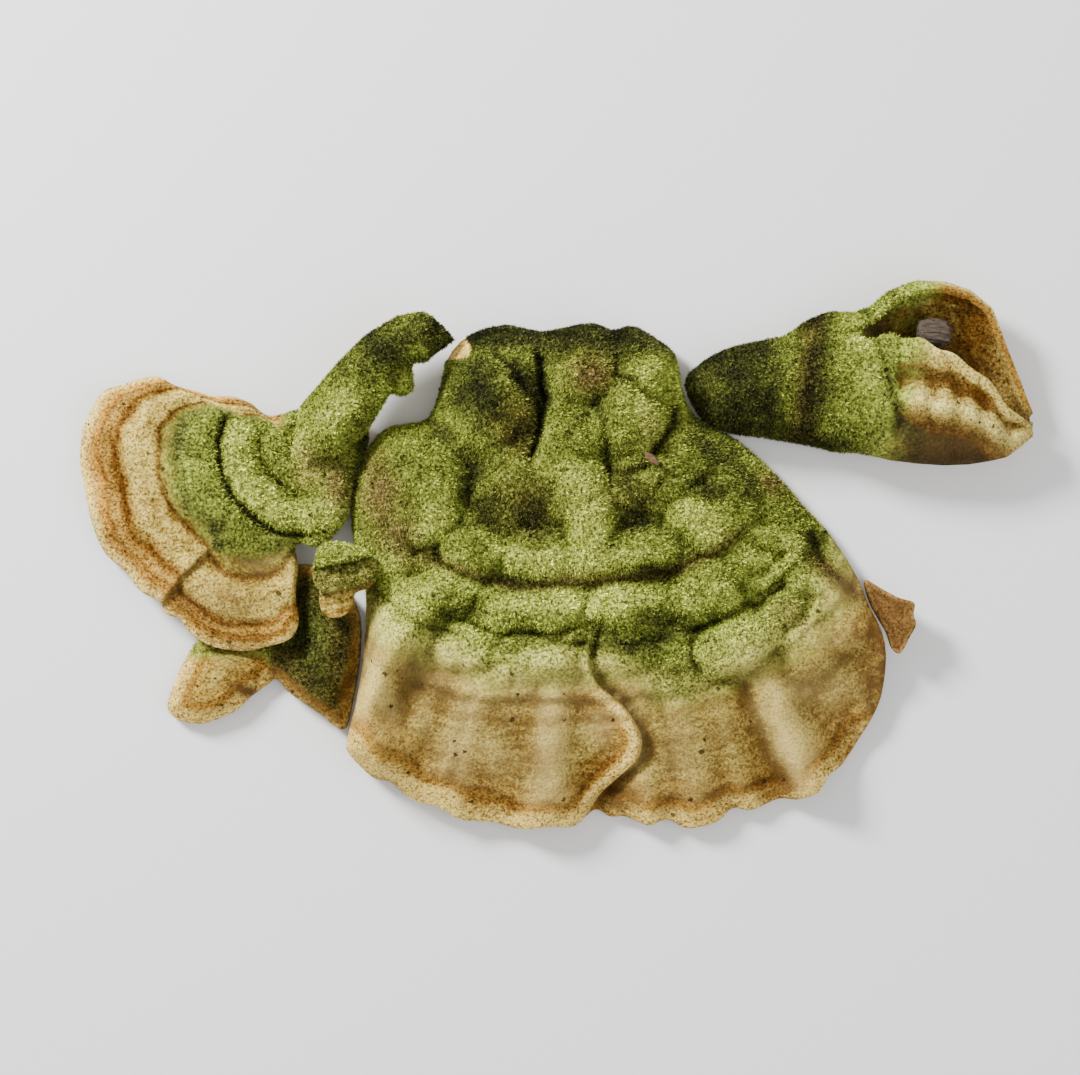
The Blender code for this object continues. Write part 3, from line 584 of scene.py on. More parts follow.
def rolled(name, stations, along, around, thickness):
    """A sheet curled into an open roll. A fold runs along its over flap, with a hollow on either side of
    the fold, and its edges are wavy."""
    shape = bmesh.new()
    bmesh.ops.create_grid(shape, x_segments=along, y_segments=around, size=0.5)
    co = np.array([v.co for v in shape.verts]) + 0.5
    table = np.array(stations, float)
    run, turn = co[:, 0] * (len(table) - 1), co[:, 1]
    x, y0, y1, z0, z1, start, stop = (np.interp(run, range(len(table)), column) for column in table.T)
    angle = start + (stop - start) * turn
    off_fold = angle - np.interp(x, (66, 76, 80, 90), (72, 66, 63, 44))
    on_flap = smoothstep(61, 69, x)
    dent = (2.1 * rise(off_fold - 18, 9) + 1.1 * rise(off_fold + 20, 9) - 0.8 * rise(off_fold, 5)) * on_flap
    dent += 0.5 * np.sin(x * 1.15) * rise(off_fold, 16) * on_flap
    bulge = 0.9 * rise(x - 60.5, 3.0) * smoothstep(30, 70, angle)
    bulge -= 0.9 * rise(x - 65.6, 1.1) * smoothstep(20, 60, angle)
    waves = 1.2 * np.sin(x * 0.9 + 1) * smoothstep(0.80, 1, turn)
    waves += 0.9 * np.sin(x * 0.7) * smoothstep(0.16, 0, turn)
    angle = np.radians(angle + waves)
    half_y, half_z = (y1 - y0 - thickness) / 2 - dent * 0.35, (z1 - z0 - thickness) / 2 - dent + bulge
    y = (y0 + y1) / 2 - half_y * np.cos(angle)
    z = (z0 + z1) / 2 + half_z * np.sin(angle)
    x = x + 0.7 * wander(turn * 40, x * 0, 3, 81) * smoothstep(0.8, 1, co[:, 0])
    put(shape, np.stack([x, y, z], 1))
    shape.normal_update()
    middle = [(vert, vert.normal * thickness / 2) for vert in shape.verts]
    everything = shape.verts[:] + shape.edges[:] + shape.faces[:]
    skins = bmesh.ops.duplicate(shape, geom=everything)["vert_map"]
    for vert, shift in middle:
        skins[vert].co = vert.co - shift
        vert.co = vert.co + shift
    bmesh.ops.bridge_loops(shape, edges=[edge for edge in shape.edges if edge.is_boundary])
    bmesh.ops.recalc_face_normals(shape, faces=shape.faces)
    return mesh_object(name, shape)


def grown_together(name, parts, voxel):
    """The parts fused into one skin of even faces."""
    shape = bmesh.new()
    for part in parts:
        shape.from_mesh(part.data)
        bpy.data.objects.remove(part)
    made = plain_object(name, shape)
    remesh = made.modifiers.new("fuse", "REMESH")
    remesh.mode = "VOXEL"
    remesh.voxel_size = voxel
    remesh.use_smooth_shade = True
    return apply_modifiers(made)


def apply_modifiers(made):
    """Keeps the evaluated mesh as the object's own, with no modifier left."""
    graph = bpy.context.evaluated_depsgraph_get()
    result = made.evaluated_get(graph)
    mesh = bpy.data.meshes.new_from_object(result, preserve_all_data_layers=True, depsgraph=graph)
    made.modifiers.clear()
    made.data = mesh
    return made


def points_of(mesh):
    """The places and the normals of a mesh's vertices."""
    found = []
    for what in ("co", "normal"):
        values = np.empty(len(mesh.vertices) * 3, np.float32)
        mesh.vertices.foreach_get(what, values)
        found.append(values.reshape(-1, 3).astype(float))
    return found


def relaxed(mesh, values, rounds):
    """Values at the vertices, blurred along the mesh's edges."""
    pairs = np.empty(len(mesh.edges) * 2, np.int64)
    mesh.edges.foreach_get("vertices", pairs)
    a, b = pairs.reshape(-1, 2).T
    size = len(mesh.vertices)
    count = np.bincount(a, minlength=size) + np.bincount(b, minlength=size)
    for _ in range(rounds):
        total = np.bincount(a, values[b], size) + np.bincount(b, values[a], size)
        values = 0.4 * values + 0.6 * total / np.maximum(count, 1)
    return values


def store(mesh, **fields):
    """Stores one number per vertex under each name, for the materials and the velvet to read."""
    for name, values in fields.items():
        layer = mesh.attributes.get(name) or mesh.attributes.new(name, "FLOAT", "POINT")
        layer.data.foreach_set("value", np.asarray(values, np.float32))


def finish_skin(made, detail, fields):
    """Adds the fine lumps along the normals, works out the painted shade for hollows and creases and the
    painted light for crests, stores the fields and turns to metres.
    """
    mesh = made.data
    co, normal = points_of(mesh)
    top_side = smoothstep(-0.1, 0.35, normal[:, 2])
    co = co + normal * (detail(co) * top_side)[:, None]
    mesh.vertices.foreach_set("co", co.astype(np.float32).ravel())
    mesh.update()
    co, normal = points_of(mesh)
    height = co[:, 2]
    none = np.zeros(len(co))
    found = dict(algae=none, brown=none, dark=none, pale=none, fuzz=none) | fields(co, normal)
    # painted shade: how far each point lies below its blurred surroundings, for darkening hollows and creases
    hollow = smoothstep(0.05, 0.8, relaxed(mesh, height, 26) - height)
    found["hollow"] = hollow * (1 - found.pop("shallow", 0))
    # painted light and shade: above 0.5 on crests, which are coloured lighter, and below it in broad dips,
    # which are coloured darker
    found["crest"] = 0.5 + 0.5 * np.clip((height - relaxed(mesh, height, 170)) / 1.5, -1, 1)
    found["beneath"] = smoothstep(-0.15, -0.55, normal[:, 2])
    store(mesh, **found)
    mesh.vertices.foreach_set("co", (co * MM).astype(np.float32).ravel())
    mesh.update()
    mesh.shade_smooth()


# ---- small, uneven lumps under the velvet ------------------------------------------------------------
def green_detail(co):
    x, y, z = co.T
    return 0.22 * (cushions(x + 0.4 * z, y - 0.3 * z, 2.2, 91) - 0.5) + 0.16 * wander(x, y + z, 0.9, 93)


def main_detail(co):
    return green_detail(co) * smoothstep(82, 66, polar(GROWTH_CENTRE, co[:, 0], co[:, 1])[0])


def left_detail(co):
    x, y, _ = co.T
    return green_detail(co) * np.maximum(smoothstep(0.6, 0.4, left_share(x, y)[0]), smoothstep(-66, -58, x))


def right_detail(co):
    return green_detail(co) * smoothstep(76, 62, co[:, 0])


def small_detail(co):
    return 0.4 * green_detail(co)


# ---- materials ---------------------------------------------------------------------------------------
class Graph:
    """Builds a node tree: each node is fed from other nodes, sockets or plain values."""

    def __init__(self, tree):
        self.tree = tree
        self.count = 0

    def add(self, kind, links=None, **settings):
        node = self.tree.nodes.new(kind)
        node.location = (180 * (self.count % 12), -220 * (self.count // 12))
        self.count += 1
        for key, value in settings.items():
            setattr(node, key, value)
        for key, value in (links or {}).items():
            self.feed(node, key, value)
        return node

    def feed(self, node, key, value):
        socket = node.inputs[key]
        if isinstance(value, bpy.types.Node):
            value = enabled(value.outputs)[0]
        if isinstance(value, bpy.types.NodeSocket):
            self.tree.links.new(value, socket)
        else:
            socket.default_value = value

    def group(self, tree, **values):
        """A shader group, with its inputs fed once it has its tree."""
        return self.add("ShaderNodeGroup", values, node_tree=tree).outputs

    def attribute(self, name):
        return self.add("ShaderNodeAttribute", attribute_name=name).outputs["Fac"]

    def place(self):
        return self.add("ShaderNodeTexCoord").outputs["Object"]

    def math(self, operation, a, b=0.0, clamp=False):
        return self.add("ShaderNodeMath", {0: a, 1: b}, operation=operation, use_clamp=clamp).outputs[0]

    def plus(self, a, b, clamp=False):
        return self.math("ADD", a, b, clamp)

    def times(self, a, b, clamp=False):
        return self.math("MULTIPLY", a, b, clamp)

    def about(self, value, middle, gain):
        """How far a value is from its middle, times a gain."""
        return self.times(self.math("SUBTRACT", value, middle), gain)

    def ramp(self, factor, *stops):
        node = self.add("ShaderNodeValToRGB", {"Fac": factor})
        elements = node.color_ramp.elements
        while len(elements) < len(stops):
            elements.new(0.5)
        for element, (at, colour) in zip(elements, stops):
            element.position = at
            element.color = (*colour, 1) if hasattr(colour, "__len__") else (colour, colour, colour, 1)
        return node.outputs["Color"]

    def mix(self, factor, a, b, blend="MIX"):
        node = self.add("ShaderNodeMix", data_type="RGBA", blend_type=blend)
        for key, value in ((0, factor), (6, a), (7, b)):
            self.feed(node, key, (*value, 1) if isinstance(value, tuple) else value)
        return node.outputs[2]

    def multiplied(self, a, b):
        return self.mix(1.0, a, b, "MULTIPLY")

    def noise(self, scale, detail, roughness, vector):
        values = {"Scale": scale, "Detail": detail, "Roughness": roughness, "Vector": vector}
        return self.add("ShaderNodeTexNoise", values).outputs["Fac"]


def enabled(sockets):
    return [s for s in sockets if s.enabled]


def node_group(name, inputs, outputs, build):
    """A shader group. Its inputs are numbers or colours, by their defaults; of its outputs, Color is one."""
    tree = bpy.data.node_groups.new(name, "ShaderNodeTree")
    for label, default in inputs.items():
        kind = "NodeSocketColor" if isinstance(default, tuple) else "NodeSocketFloat"
        tree.interface.new_socket(label, in_out="INPUT", socket_type=kind).default_value = default
    for label in outputs:
        kind = "NodeSocketColor" if label == "Color" else "NodeSocketFloat"
        tree.interface.new_socket(label, in_out="OUTPUT", socket_type=kind)
    g = Graph(tree)
    given, sink = g.add("NodeGroupInput").outputs, g.add("NodeGroupOutput")
    for label, result in zip(outputs, build(g, given)):
        g.feed(sink, label, result)
    return tree


def build_algae(g, given):
    """The green film, from dark to bright, with grains of dirt, brown that is partly weathering and partly
    painted shade, and painted light and shade by the crests.
    """
    place = g.place()
    broad, grain = g.noise(170, 3, 0.6, place), g.noise(1650, 2, 0.7, place)
    tone = g.plus(g.times(broad, 0.55), g.times(grain, 0.60))
    tone = g.plus(tone, g.times(given["Pale"], 0.36))
    # painted light and shade: lighter on crests, darker in dips
    tone = g.plus(tone, g.about(given["Crest"], 0.5, 0.16))
    # Dark carries painted shade in creases and furrows, as well as duller patches
    tone = g.math("SUBTRACT", tone, g.times(given["Dark"], 0.34), clamp=True)
    green = g.ramp(tone, (0.14, (0.015, 0.016, 0.006)), (0.33, (0.076, 0.082, 0.019)),
                   (0.49, (0.235, 0.270, 0.040)), (0.63, (0.48, 0.565, 0.080)), (0.82, (0.86, 0.93, 0.19)))
    # brown that is partly weathering and partly painted shade in creases and pleat valleys
    worn_and_shaded = g.ramp(tone, (0.26, (0.034, 0.020, 0.006)), (0.52, (0.24, 0.165, 0.038)),
                  (0.82, (0.60, 0.46, 0.16)))
    share = g.times(given["Brown"], g.plus(g.times(broad, 1.2), 0.35), clamp=True)
    return (g.mix(share, green, worn_and_shaded),)


def build_flesh(g, given):
    """Faint rings, blotches and fine grains over a zone's own colour, with painted light on crests and
    painted shade in dips.
    """
    place = g.place()
    rings = g.plus(given["Ring"], g.times(g.noise(200, 3, 0.6, place), 4.5))
    waves = {"W": g.times(rings, 0.42), "Scale": 1.0, "Detail": 3.0}
    lines = g.add("ShaderNodeTexNoise", waves, noise_dimensions="1D").outputs["Fac"]
    shade = g.plus(g.times(lines, 0.30), g.about(g.noise(1350, 3, 0.8, place), 0.17, 0.82))
    shade = g.plus(shade, g.about(g.noise(95, 5, 0.7, place), 0.15, 0.64))
    # painted light and shade: lighter on crests, darker in dips
    shade = g.plus(shade, g.about(given["Crest"], 0.5, 0.66))
    tint = g.ramp(shade, (0.50, (0.40, 0.30, 0.17)), (0.65, (0.90, 0.88, 0.82)), (0.80, (1.35, 1.40, 1.40)))
    pepper = g.ramp(g.noise(1750, 2, 0.7, place), (0.37, (0.36, 0.27, 0.17)), (0.49, (0.95, 0.94, 0.91)),
                    (0.61, (1.22, 1.23, 1.22)))
    return (g.multiplied(g.multiplied(given["Zone"], tint), pepper),)


def build_specks(g, given):
    """A scatter of small dark grains, uneven in outline and size."""
    place = g.place()
    bend = g.add("ShaderNodeTexNoise", {"Vector": place, "Scale": 1400.0, "Detail": 1.0}).outputs["Color"]
    bend_by = {0: bend, 1: (0.0009, 0.0009, 0.0009), 2: place}
    bent = g.add("ShaderNodeVectorMath", bend_by, operation="MULTIPLY_ADD").outputs[0]
    grains = {"Vector": bent, "Scale": given["Scale"], "Randomness": 1.0}
    cells = g.add("ShaderNodeTexVoronoi", grains).outputs
    parts = g.add("ShaderNodeSeparateColor", {"Color": cells["Color"]}).outputs
    chosen = g.math("GREATER_THAN", parts[0], given["Rarity"])
    spot = g.math("LESS_THAN", cells["Distance"], g.times(given["Size"], g.plus(parts[1], 0.5)))
    return (g.times(chosen, spot),)


def build_pores(g, given):
    """The pale underside, closely covered in tiny round pores, each coloured dark inside as painted shade."""
    place = g.place()
    cells = g.add("ShaderNodeTexVoronoi", {"Vector": place, "Scale": 2600.0, "Randomness": 0.7})
    hole = g.math("LESS_THAN", cells.outputs["Distance"], 0.30)
    flesh = g.ramp(g.noise(90, 4, 0.6, place), (0.3, (0.36, 0.26, 0.12)), (0.7, (0.60, 0.48, 0.27)))
    # painted shade: each pore's hole is coloured dark brown
    return g.mix(g.times(hole, 0.75), flesh, (0.16, 0.10, 0.04)), g.times(hole, -1.0)


ALGAE = node_group(
    "algae film", {"Pale": 0.0, "Dark": 0.0, "Brown": 0.0, "Crest": 0.5}, ("Color",), build_algae)
FLESH = node_group(
    "fibrous flesh", {"Zone": (0.5, 0.4, 0.2, 1), "Ring": 0.0, "Crest": 0.5}, ("Color",), build_flesh)
SPECKS = node_group("dark specks", {"Scale": 400.0, "Size": 0.2, "Rarity": 0.8}, ("Mask",), build_specks)
PORES = node_group("pore surface", {}, ("Color", "Height"), build_pores)


def new_material(name):
    made = bpy.data.materials.new(name)
    made.use_nodes = True
    return made, Graph(made.node_tree), made.node_tree.nodes["Principled BSDF"]


def skin_material(name, zones, tip=False):
    """Upper surface: zones from the margin inward, under a film of algae; the pored underside; painted shade
    in creases and hollows.
    With tip, the same colours for the velvet's hairs, dark at the root and bright at the tip as painted shade
    and painted light."""
    made, g, shader = new_material(name)
    place = g.place()
    edge, ring, cover, crest, pale, dark, brown, hollow, beneath, fuzz = (
        g.attribute(field)
        for field in ("edge", "ring", "algae", "crest", "pale", "dark", "brown", "hollow", "beneath", "fuzz")
    )
    waver = g.times(g.math("SUBTRACT", g.noise(110, 4, 0.6, place), 0.5), 5.0)
    calm_margin = g.ramp(g.math("DIVIDE", edge, 12.0, clamp=True), (0.05, 0.2), (0.6, 1.0))
    along = g.plus(edge, g.times(waver, calm_margin))
    zone = g.ramp(g.math("DIVIDE", along, ZONE_REACH, clamp=True), *zones)
    colour = g.group(FLESH, Zone=zone, Ring=ring, Crest=crest)[0]
    # pale: paler patches of the fan's own colour, with painted highlights on pleat and fold crests
    colour = g.mix(g.times(pale, 0.55), colour, (0.80, 0.61, 0.22))
    # brown: partly real staining and partly painted shade in creases and pleat valleys
    stain_and_shade = g.times(brown, g.ramp(g.noise(330, 4, 0.7, place), (0.38, 0.35), (0.56, 1.0)), clamp=True)
    colour = g.mix(stain_and_shade, colour, (0.13, 0.065, 0.017))
    # painted shade in creases and ring furrows, with darker patches of the fan's own colour
    colour = g.mix(g.times(dark, 0.5), colour, (0.06, 0.04, 0.014))
    algae = g.group(ALGAE, Pale=pale, Dark=dark, Brown=brown, Crest=crest)[0]
    ragged = g.plus(cover, g.about(g.noise(420, 4, 0.7, place), 0.5, 0.9))
    film = g.ramp(ragged, (0.22, 0.0), (0.78, 1.0))
    colour = g.mix(film, colour, algae)
    # dark grains in the film, partly grain and partly painted shade for the gaps between the velvet's tufts
    grain_and_gap_shade = g.ramp(g.noise(1500, 2, 0.7, place), (0.39, 0.06), (0.49, 0.75), (0.60, 1.25))
    colour = g.mix(g.times(film, 0.8), colour, g.multiplied(colour, grain_and_gap_shade))
    specks = g.group(SPECKS, Scale=300.0, Size=0.115, Rarity=0.5)[0]
    colour = g.mix(g.times(specks, 0.85), colour, (0.020, 0.013, 0.006))
    # painted shade in hollows and creases
    colour = g.mix(g.times(hollow, 0.40), colour, (0.016, 0.014, 0.004))
    if tip:
        # painted shade down at the hairs' roots and painted light at their tips
        root = g.math("POWER", g.attribute("along"), 0.8)
        colour = g.multiplied(colour, g.ramp(root, (0.0, 0.35), (0.45, 1.0), (1.0, 1.45)))
        colour = g.multiplied(colour, g.ramp(g.times(g.attribute("shade"), 0.5), (0.0, 0.0), (1.0, 2.0)))
    else:
        # painted shade: the skin is darker where the velvet grows over it
        colour = g.multiplied(colour, g.ramp(fuzz, (0.0, 1.0), (1.0, 0.62)))
        pores = g.group(PORES)
        colour = g.mix(beneath, colour, pores[0])
        height = g.plus(g.noise(950, 4, 0.75, place), g.times(pores[1], beneath))
        relief = {"Height": height, "Strength": 0.9, "Distance": 0.0008}
        g.feed(shader, "Normal", g.add("ShaderNodeBump", relief))
    g.feed(shader, "Base Color", colour)
    g.feed(shader, "Roughness", g.ramp(g.noise(300, 3, 0.6, place), (0.3, 0.78), (0.7, 0.95)))
    g.feed(shader, "Specular IOR Level", 0.08)
    return made


CREAM_ZONES = (
    (0.0, (0.70, 0.49, 0.135)), (0.070, (0.60, 0.42, 0.110)), (0.098, (0.36, 0.19, 0.030)),
    (0.13, (0.27, 0.145, 0.024)), (0.155, (0.44, 0.29, 0.062)), (0.20, (0.34, 0.215, 0.042)),
    (0.24, (0.44, 0.33, 0.078)), (0.33, (0.39, 0.295, 0.068)), (0.42, (0.29, 0.205, 0.042)),
    (0.47, (0.43, 0.33, 0.080)), (0.60, (0.38, 0.29, 0.060)), (0.66, (0.25, 0.175, 0.032)),
    (0.70, (0.36, 0.27, 0.050)), (0.80, (0.40, 0.34, 0.060)), (1.0, (0.40, 0.35, 0.058)),
)
LEFT_ZONES = (
    (0.0, (0.72, 0.53, 0.165)), (0.045, (0.60, 0.41, 0.110)), (0.070, (0.46, 0.26, 0.052)),
    (0.098, (0.40, 0.20, 0.032)), (0.112, (0.22, 0.095, 0.014)), (0.128, (0.40, 0.235, 0.050)),
    (0.165, (0.35, 0.195, 0.038)), (0.192, (0.20, 0.085, 0.012)), (0.215, (0.40, 0.255, 0.055)),
    (0.25, (0.50, 0.37, 0.093)), (0.31, (0.54, 0.41, 0.105)), (0.395, (0.44, 0.315, 0.070)),
    (0.416, (0.15, 0.066, 0.010)), (0.436, (0.40, 0.32, 0.062)), (0.50, (0.32, 0.275, 0.045)),
    (0.56, (0.23, 0.21, 0.030)), (0.62, (0.20, 0.19, 0.026)), (1.0, (0.28, 0.28, 0.04)),
)
ROLL_ZONES = (
    (0.0, (0.032, 0.017, 0.005)), (0.10, (0.068, 0.037, 0.010)), (0.24, (0.29, 0.145, 0.025)),
    (0.36, (0.24, 0.155, 0.035)), (0.50, (0.44, 0.31, 0.080)), (0.70, (0.60, 0.50, 0.15)),
    (0.85, (0.72, 0.58, 0.22)), (1.0, (0.80, 0.64, 0.28)),
)
BROWN_ZONES = (
    (0.0, (0.30, 0.17, 0.05)), (0.03, (0.11, 0.055, 0.015)), (0.07, (0.19, 0.10, 0.028)),
    (0.15, (0.10, 0.052, 0.014)), (1.0, (0.07, 0.036, 0.010)),
)


# ---- the velvet: short hairs grown over the green parts ----------------------------------------------
def velvet_tree():
    """Geometry nodes that grow short leaning hairs on a skin, each a closed spike of four faces."""
    tree = bpy.data.node_groups.new("velvet", "GeometryNodeTree")
    tree.interface.new_socket("Geometry", in_out="INPUT", socket_type="NodeSocketGeometry")
    for label, kind, default in (
        ("Hairs per square millimetre", "Float", 6.0), ("Length", "Float", 0.0008),
        ("Thickness", "Float", 0.00012), ("Clump size", "Float", 0.00055),
        ("Seed", "Int", 1), ("Finish", "Material", None),
    ):
        socket = tree.interface.new_socket(label, in_out="INPUT", socket_type="NodeSocket" + kind)
        if default is not None:
            socket.default_value = default
    tree.interface.new_socket("Geometry", in_out="OUTPUT", socket_type="NodeSocketGeometry")
    g = Graph(tree)
    given, sink = g.add("NodeGroupInput").outputs, g.add("NodeGroupOutput")
    seed, clump = given["Seed"], given["Clump size"]

    def vector(operation, a, b=None, **more):
        values = {0: a} | ({} if b is None else {1: b}) | more
        return g.add("ShaderNodeVectorMath", values, operation=operation).outputs[0]

    def stored(geometry, name, value, domain):
        values = {"Geometry": geometry, "Name": name, "Value": value}
        return g.add("GeometryNodeStoreNamedAttribute", values, data_type="FLOAT", domain=domain).outputs[0]

    def random_number(low, high, **more):
        node = g.add("FunctionNodeRandomValue", more, data_type="FLOAT")
        for socket, value in zip((s for s in enabled(node.inputs) if s.type == "VALUE"), (low, high)):
            socket.default_value = value
        return enabled(node.outputs)[0]

    fuzz = g.add("GeometryNodeInputNamedAttribute", {"Name": "fuzz"}, data_type="FLOAT").outputs["Attribute"]
    density = g.times(g.times(given["Hairs per square millimetre"], 1e6), fuzz)
    ground = {"Mesh": given["Geometry"], "Density": density, "Seed": seed}
    scatter = g.add("GeometryNodeDistributePointsOnFaces", ground).outputs

    # the hairs lean together in tufts, each a little its own way
    size = g.add("ShaderNodeCombineXYZ", {0: clump, 1: clump, 2: clump}).outputs[0]
    tuft_place = vector("DIVIDE", g.add("GeometryNodeInputPosition").outputs[0], size)
    tuft = g.add("ShaderNodeTexNoise", {"Vector": tuft_place, "Scale": 1.0, "Detail": 1.0}).outputs
    lean = vector("SCALE", vector("SUBTRACT", tuft["Color"], (0.5, 0.5, 0.5)), Scale=3.4)
    spread = {"Min": (-0.45, -0.45, -0.2), "Max": (0.45, 0.45, 0.45), "Seed": seed}
    jitter = g.add("FunctionNodeRandomValue", spread, data_type="FLOAT_VECTOR").outputs[0]
    aim = vector("ADD", vector("ADD", scatter["Normal"], lean), jitter)
    aim = vector("ADD", aim, (0.0, -0.25, 0.25))
    turn = g.add("FunctionNodeAlignRotationToVector", {"Vector": aim}, axis="Z")

    hair = {"Vertices": 3, "Side Segments": 1, "Radius Top": 0.0, "Radius Bottom": given["Thickness"],
            "Depth": given["Length"]}
    spike = g.add("GeometryNodeMeshCone", hair, fill_type="NGON").outputs["Mesh"]
    height = g.add("ShaderNodeSeparateXYZ", {0: g.add("GeometryNodeInputPosition").outputs[0]}).outputs[2]
    spike = stored(spike, "along", g.math("DIVIDE", height, given["Length"], clamp=True), "POINT")

    patchy = g.plus(g.times(tuft["Fac"], 0.9), 0.5)
    grown = g.times(random_number(0.55, 1.15), g.times(patchy, g.plus(g.times(fuzz, 0.5), 0.5)))
    stand = {"Points": scatter["Points"], "Instance": spike, "Rotation": turn.outputs[0], "Scale": grown}
    hairs = g.add("GeometryNodeInstanceOnPoints", stand).outputs[0]
    lit = g.plus(g.about(tuft["Fac"], 0.5, 2.4), 1.0)
    lit = g.math("MAXIMUM", g.times(lit, random_number(0.45, 1.35, Seed=5)), 0.12)
    real = g.add("GeometryNodeRealizeInstances", {0: stored(hairs, "shade", lit, "INSTANCE")}).outputs[0]
    g.feed(sink, 0, g.add("GeometryNodeSetMaterial", {"Geometry": real, "Material": given["Finish"]}))
    return tree


def grow(name, skin, tree, finish, density, seed, length=HAIR_LENGTH):
    """Velvet for one skin, as a piece of its own."""
    made = linked(name, skin.data.copy())
    hairs = made.modifiers.new("velvet", "NODES")
    hairs.node_group = tree
    sockets = {s.name: s.identifier for s in tree.interface.items_tree if s.in_out == "INPUT"}
    for label, value in (("Hairs per square millimetre", density), ("Length", length),
                         ("Thickness", HAIR_THICKNESS), ("Seed", seed), ("Finish", finish)):
        hairs[sockets[label]] = value
    return apply_modifiers(made)


# ---- fields that the materials read ------------------------------------------------------------------
def main_fields(co, normal):
    x, y, _ = co.T
    ring, angle = main_ring(x, y)
    edge_x, edge_y = MAIN_EDGE.T
    growing_edge = MAIN_EDGE[((edge_y < -73) & (edge_x > -60)) | ((edge_x > 50) & (edge_y < -44))]
    left_side = smoothstep(0.2, -0.6, right_of_free_edge(x, y))
    free_zone = smoothstep(-56, -62, y) * left_side
    edge = distance_to(growing_edge, x, y) * (1 - 0.30 * smoothstep(-8, -14, angle))
    free = distance_to(FREE_EDGE, x, y)
    edge = edge * (1 - free_zone) + np.minimum(edge, free * 1.25) * free_zone
    right_side = smoothstep(33, 38, angle)
    edge = edge + right_side * (1.5 + 3.5 * smoothstep(-82, -76, y) * smoothstep(-46, -54, y))
    growing = smoothstep(-30, -50, y)
    edge = edge * growing + OLD_PART * (1 - growing)

    reach = 72 + 7 * smoothstep(3, 15, angle) - 5 * smoothstep(34, 50, angle) + 2.5 * wander(x, y, 10, 23)
    algae = smoothstep(reach + 9, reach - 8, ring)
    broken = 0.45 + 0.55 * smoothstep(-0.3, 0.4, wander(angle, 0 * x, 9, 27))
    first_furrow = 0.36 * rise(ring - 53.8, 0.65) * smoothstep(46, 36, np.abs(angle + 2)) * broken
    furrow = most(first_furrow, 0.5 * rise(ring - 66.3, 0.8))
    creases = creased(MAIN_CREASES, x, y)
    bent = pleat_angle(angle, x, y)
    pleats = sum(min(1, lift / 3.5) * rise(bent - at, 0.8 * width) for at, width, lift in MAIN_PLEATS)
    # the pleats' crests, which get a painted highlight, with painted shade in the valleys between them
    crest = np.clip(pleats, 0, 1)
    outer = smoothstep(-52, -62, y) * smoothstep(3, 7, edge)
    band = smoothstep(9.5, 2.5, edge - 5 * right_side + 2.2 * wander(x, y, 7, 29))
    band = band * right_side * smoothstep(-40, -50, y)
    thin_ring = rise(ring - 82 - 1.2 * wander(x, y, 9, 43), 1.1)
    brown = most(
        patches(BROWN_PATCHES, x, y),
        0.75 * rise(ring - 53.0, 1.3) * smoothstep(45, 30, np.abs(angle)),
        0.95 * band,
        # painted shade in the valleys between the pleats
        0.46 * (1 - crest) * outer * smoothstep(-0.5, 0.4, wander(x, y, 12, 39)),
        0.55 * thin_ring * left_side * smoothstep(-40, -34, x),
        0.5 * rise(ring - reach + 1, 5),
        # painted shade in the creases
        0.55 * np.clip(creases, 0, 1) * smoothstep(-50, -58, y),
    )
    dark = most(
        patches(DARK_PATCHES, x, y),
        # painted shade in the ring furrows
        0.9 * furrow,
        # painted shade in the creases
        np.clip(creases / 3.4, 0, 1) * smoothstep(-62, -50, y),
        # darker towards the base end
        smoothstep(5, 14, y) * 0.95,
    )
    pale = most(
        0.9 * patches(PALE_PATCHES, x, y),
        0.35 * smoothstep(63, 71, ring) * smoothstep(84, 76, ring),
        # painted highlight on the pleats' crests
        0.8 * crest * outer,
    )
    fuzz = smoothstep(reach + 1, reach - 9, ring) * smoothstep(-0.3, 0.15, normal[:, 2])

    # a small tear near the base, where the bare flesh shows
    torn = patches(((-27, 11.3, 3.6, 2.8, -30, 1.5),), x, y, 0.6) > 0.55
    algae, brown, dark, fuzz = (np.where(torn, 0, field) for field in (algae, brown, dark, fuzz))
    edge = np.where(torn, 2, edge)
    # less of the painted hollow shade along the first ring's furrow
    shallow = 0.9 * rise(ring - 53.6, 2.4)
    return dict(ring=ring, edge=edge, algae=algae, brown=brown, dark=dark, pale=pale, fuzz=fuzz,
                shallow=shallow)


